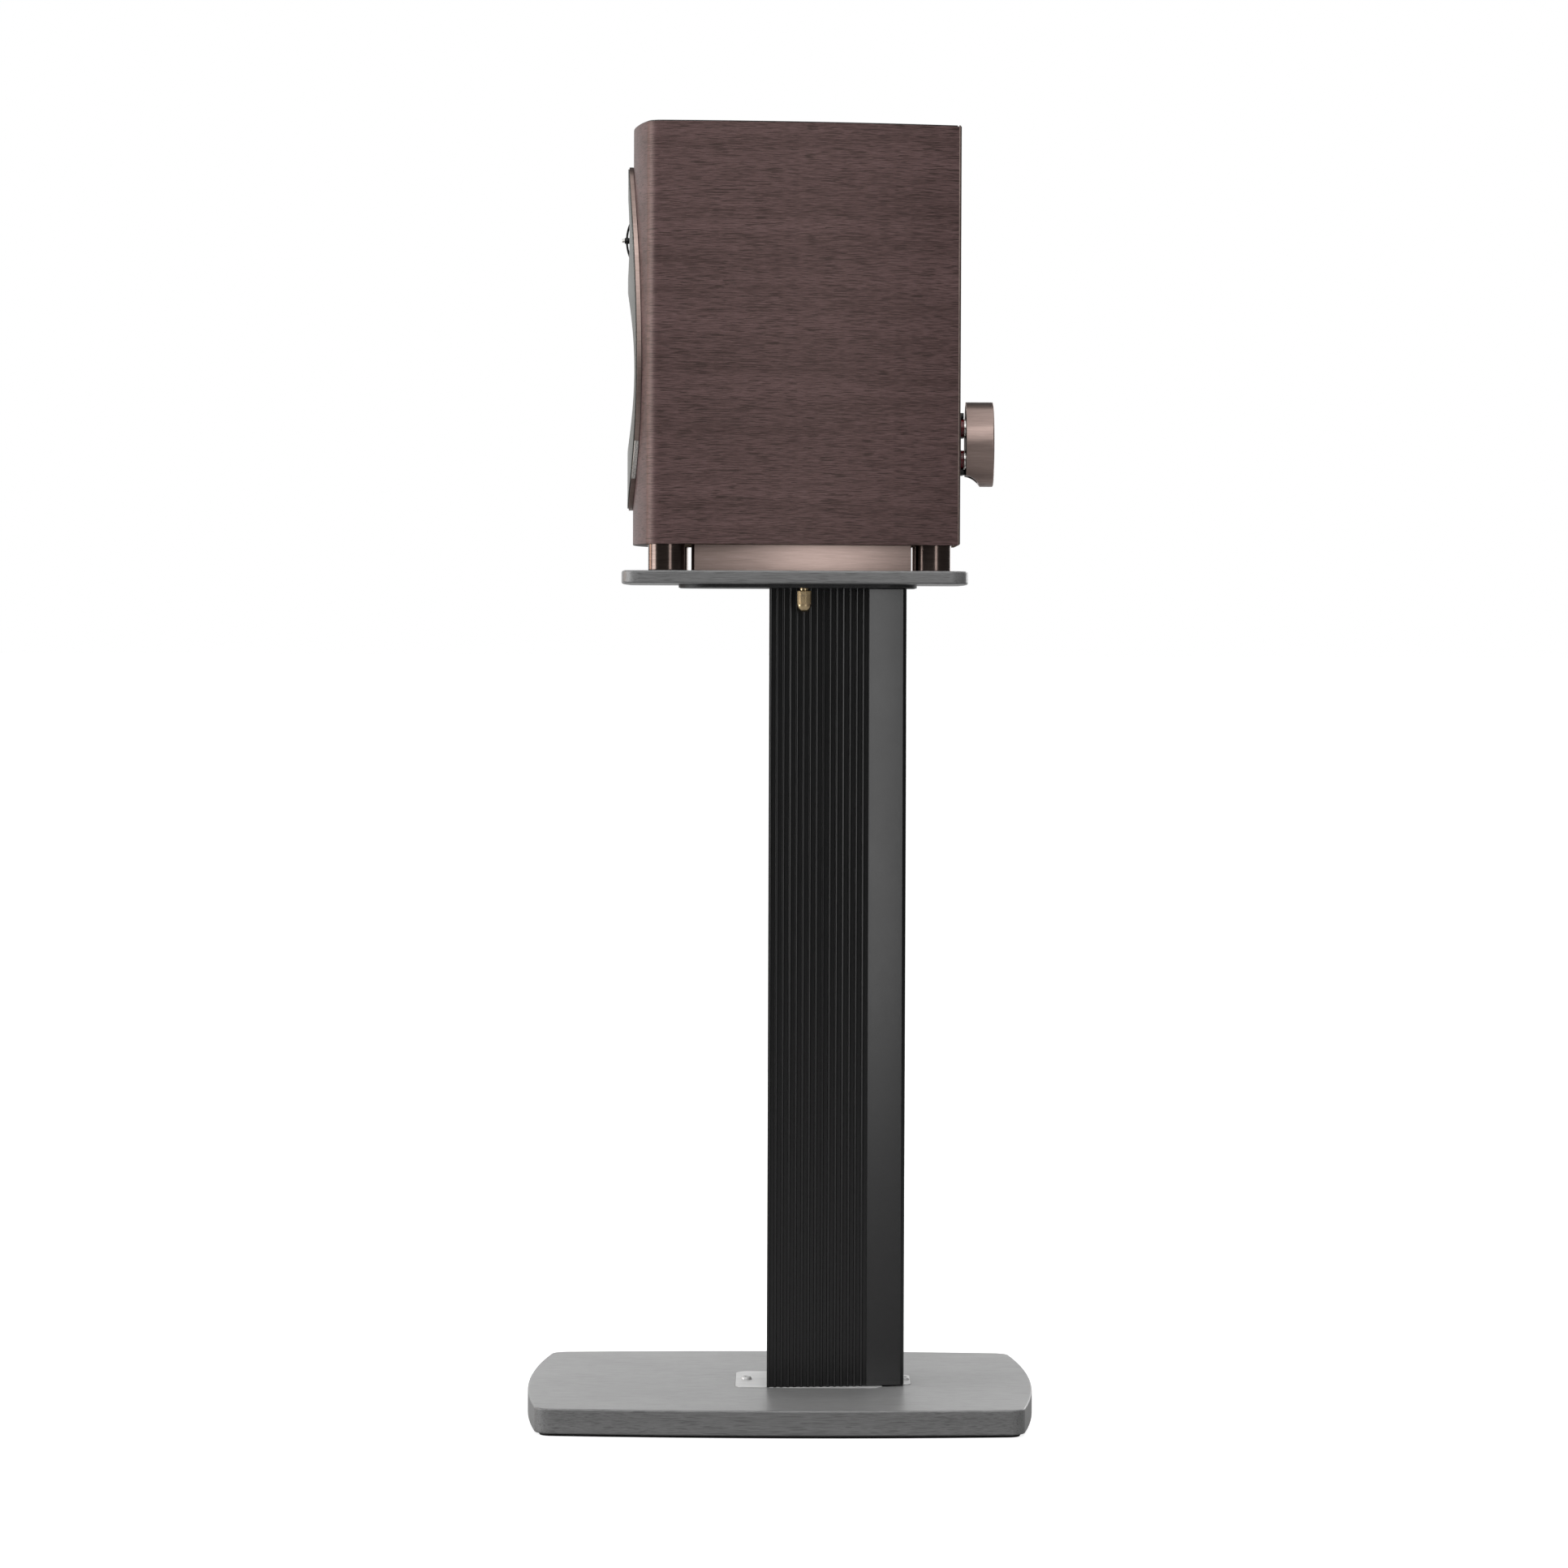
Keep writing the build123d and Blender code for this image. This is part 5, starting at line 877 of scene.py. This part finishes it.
class SPEAKER_OT_fasteners(SpeakerOperator):
    """Cut hexagon sockets in the rear screws"""

    bl_idname = "speaker.fasteners"
    bl_label = "Rear screws"

    def build(self, context):
        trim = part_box("rear_trim_plate")[1].y
        terminal = middle("terminal_ring").z
        seats = [(x, trim, z) for x in (36, -36) for z in (755, 893, 1031)]
        seats += [(x, trim + 1.4 * MM, terminal / MM) for x in (21.8, -21.8)]
        screws = []
        for x, y, z in seats:
            place = (x * MM, y, z * MM)
            head = [(0, -16 * MM), (1.75 * MM, -16 * MM), (1.75 * MM, -1.4 * MM), (3.1 * MM, -0.1 * MM),
                    (3.1 * MM, 0), (1.5 * MM, 0), (1.5 * MM, -1.1 * MM), (0, -1.1 * MM)]
            well = [(1.52 * MM, -0.1 * MM), (1.3 * MM, -0.3 * MM), (1.3 * MM, -1.15 * MM),
                    (1.52 * MM, -1.15 * MM)]
            screws += [lathe([head], place, steps=32), lathe([well], place, steps=6)]
        settle(joined(screws), "rear_screws_socket", ["rear_screws"])


class SPEAKER_OT_stage(SpeakerOperator):
    """Lay the floor, hang the lights and set the camera"""

    bl_idname = "speaker.stage"
    bl_label = "Stage"

    def build(self, context):
        scene, stage = context.scene, context.scene.speaker_stage
        scene.view_settings.view_transform = "Standard"
        self.floor(scene)
        self.world(scene)
        for name, place, size, power, colour, lit, mirrored in (
            ("Key", (3.8, -0.8, 3.0), (4.5, 3.0), 56, PLAIN_LIGHT, True, True),
            ("Front", (0.25, -3.0, 1.1), (1.6, 2.0), 60, PLAIN_LIGHT, True, True),
            ("Bow strip", (-1.5, -2.7, 1.07), (1.0, 0.8), 12, WARM_LIGHT, False, True),
            ("Side softbox", (3.3, 1.3, 0.9), (0.7, 2.0), 15, PLAIN_LIGHT, True, True),
            ("Far fill", (-2.6, 1.6, 1.4), (1.6, 1.8), 22, PLAIN_LIGHT, True, True),
            ("Backdrop glow", (-3.4, 0.0, 0.9), (5.0, 1.8), 26, PLAIN_LIGHT, True, True),
            ("Top", (0.1, 0.0, 3.2), (3.0, 3.0), 110, PLAIN_LIGHT, True, False),
            ("Ceiling card", (0.8, 0.2, 3.4), (4.6, 4.6), 72, PLAIN_LIGHT, False, True),
        ):
            light = bpy.data.lights.new(name, "AREA")
            light.shape = "RECTANGLE"
            light.size, light.size_y = size
            light.energy = power * stage.light
            light.color = colour
            lamp = bpy.data.objects.new(name, light)
            lamp.location = place
            aim = Vector((0, 0, 0.7)) - Vector(place)
            lamp.rotation_euler = aim.to_track_quat("-Z", "Y").to_euler()
            lamp.visible_camera = False
            lamp.visible_diffuse, lamp.visible_glossy = lit, mirrored
            scene.collection.objects.link(lamp)
        camera = bpy.data.cameras.new("Camera")
        camera.lens, camera.sensor_width = stage.lens, 36
        camera.clip_end = 400
        viewer = bpy.data.objects.new("Camera", camera)
        viewer.location = (stage.camera_distance, 0.0017, stage.camera_height)
        line = Vector((-cos(stage.pitch), 0, -sin(stage.pitch)))
        turn = line.to_track_quat("-Z", "Y") @ Quaternion((0, 0, 1), stage.roll)
        viewer.rotation_euler = turn.to_euler()
        scene.collection.objects.link(viewer)
        scene.camera = viewer

    def floor(self, scene):
        """A wide pale floor."""
        work = bmesh.new()
        bmesh.ops.create_circle(work, cap_ends=True, segments=96, radius=150)
        mesh = bpy.data.meshes.new("floor")
        work.to_mesh(mesh)
        work.free()
        floor = bpy.data.objects.new("floor", mesh)
        scene.collection.objects.link(floor)
        material = bpy.data.materials.new("floor")
        material.use_nodes = True
        tree = material.node_tree
        body = tree.nodes["Principled BSDF"]
        place = add(tree, "ShaderNodeTexCoord").outputs["Object"]
        shade = noise(tree, place, 3.0, 3.0)
        plug(tree, body.inputs["Base Color"], blend_colours(
            tree, shade, (0.31, 0.31, 0.31, 1), (0.34, 0.34, 0.34, 1)))
        body.inputs["Roughness"].default_value = 0.8
        body.inputs["Emission Color"].default_value = (1, 1, 1, 1)
        seen = add(tree, "ShaderNodeLightPath").outputs["Is Camera Ray"]
        away = add(tree, "ShaderNodeVectorMath", {"operation": "LENGTH"}, Vector=place).outputs[1]
        glow = between(tree, away, 0.35, 1.2, 0.84, 1.0)
        plug(tree, body.inputs["Emission Strength"], maths(tree, "MULTIPLY", seen, glow))
        mesh.materials.append(material)

    def world(self, scene):
        """White to the camera, a softer grey to the surfaces."""
        world = bpy.data.worlds.new("Studio")
        world.use_nodes = True
        scene.world = world
        tree = world.node_tree
        seen = add(tree, "ShaderNodeLightPath").outputs["Is Camera Ray"]
        tree.nodes["Background"].inputs["Color"].default_value = (1, 1, 1, 1)
        plug(tree, tree.nodes["Background"].inputs["Strength"],
             between(tree, seen, 0.0, 1.0, 0.14, 1.0))


STEPS = (SPEAKER_OT_finishes, SPEAKER_OT_cabinet, SPEAKER_OT_front_plate, SPEAKER_OT_woofer,
         SPEAKER_OT_tweeter, SPEAKER_OT_plinth, SPEAKER_OT_stand, SPEAKER_OT_clamps,
         SPEAKER_OT_terminals, SPEAKER_OT_fasteners, SPEAKER_OT_stage)


class SPEAKER_PT_sidebar(bpy.types.Panel):
    """Lists the steps that build the speaker"""

    bl_label = "Speaker"
    bl_idname = "SPEAKER_PT_sidebar"
    bl_space_type = "VIEW_3D"
    bl_region_type = "UI"
    bl_category = "Speaker"

    def draw(self, context):
        """List settings and steps."""
        for name in ("speaker_colours", "speaker_sizes", "speaker_stage"):
            group = getattr(context.scene, name)
            for key in group.bl_rna.properties.keys():
                if key not in ("rna_type", "name"):
                    self.layout.prop(group, key)
        for step in STEPS:
            self.layout.operator(step.bl_idname)


CLASSES = (SpeakerColours, SpeakerSizes, SpeakerStage, *STEPS, SPEAKER_PT_sidebar)


def register():
    """Make the settings, operators and panel known."""
    for item in CLASSES:
        bpy.utils.register_class(item)
    bpy.types.Scene.speaker_colours = PointerProperty(type=SpeakerColours)
    bpy.types.Scene.speaker_sizes = PointerProperty(type=SpeakerSizes)
    bpy.types.Scene.speaker_stage = PointerProperty(type=SpeakerStage)


def unregister():
    """Take them away again."""
    for name in ("speaker_colours", "speaker_sizes", "speaker_stage"):
        delattr(bpy.types.Scene, name)
    for item in reversed(CLASSES):
        bpy.utils.unregister_class(item)


def main():
    """Build everything."""
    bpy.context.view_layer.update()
    register()
    for step in STEPS:
        group, name = step.bl_idname.split(".")
        getattr(getattr(bpy.ops, group), name)()


if __name__ == "__main__":
    main()
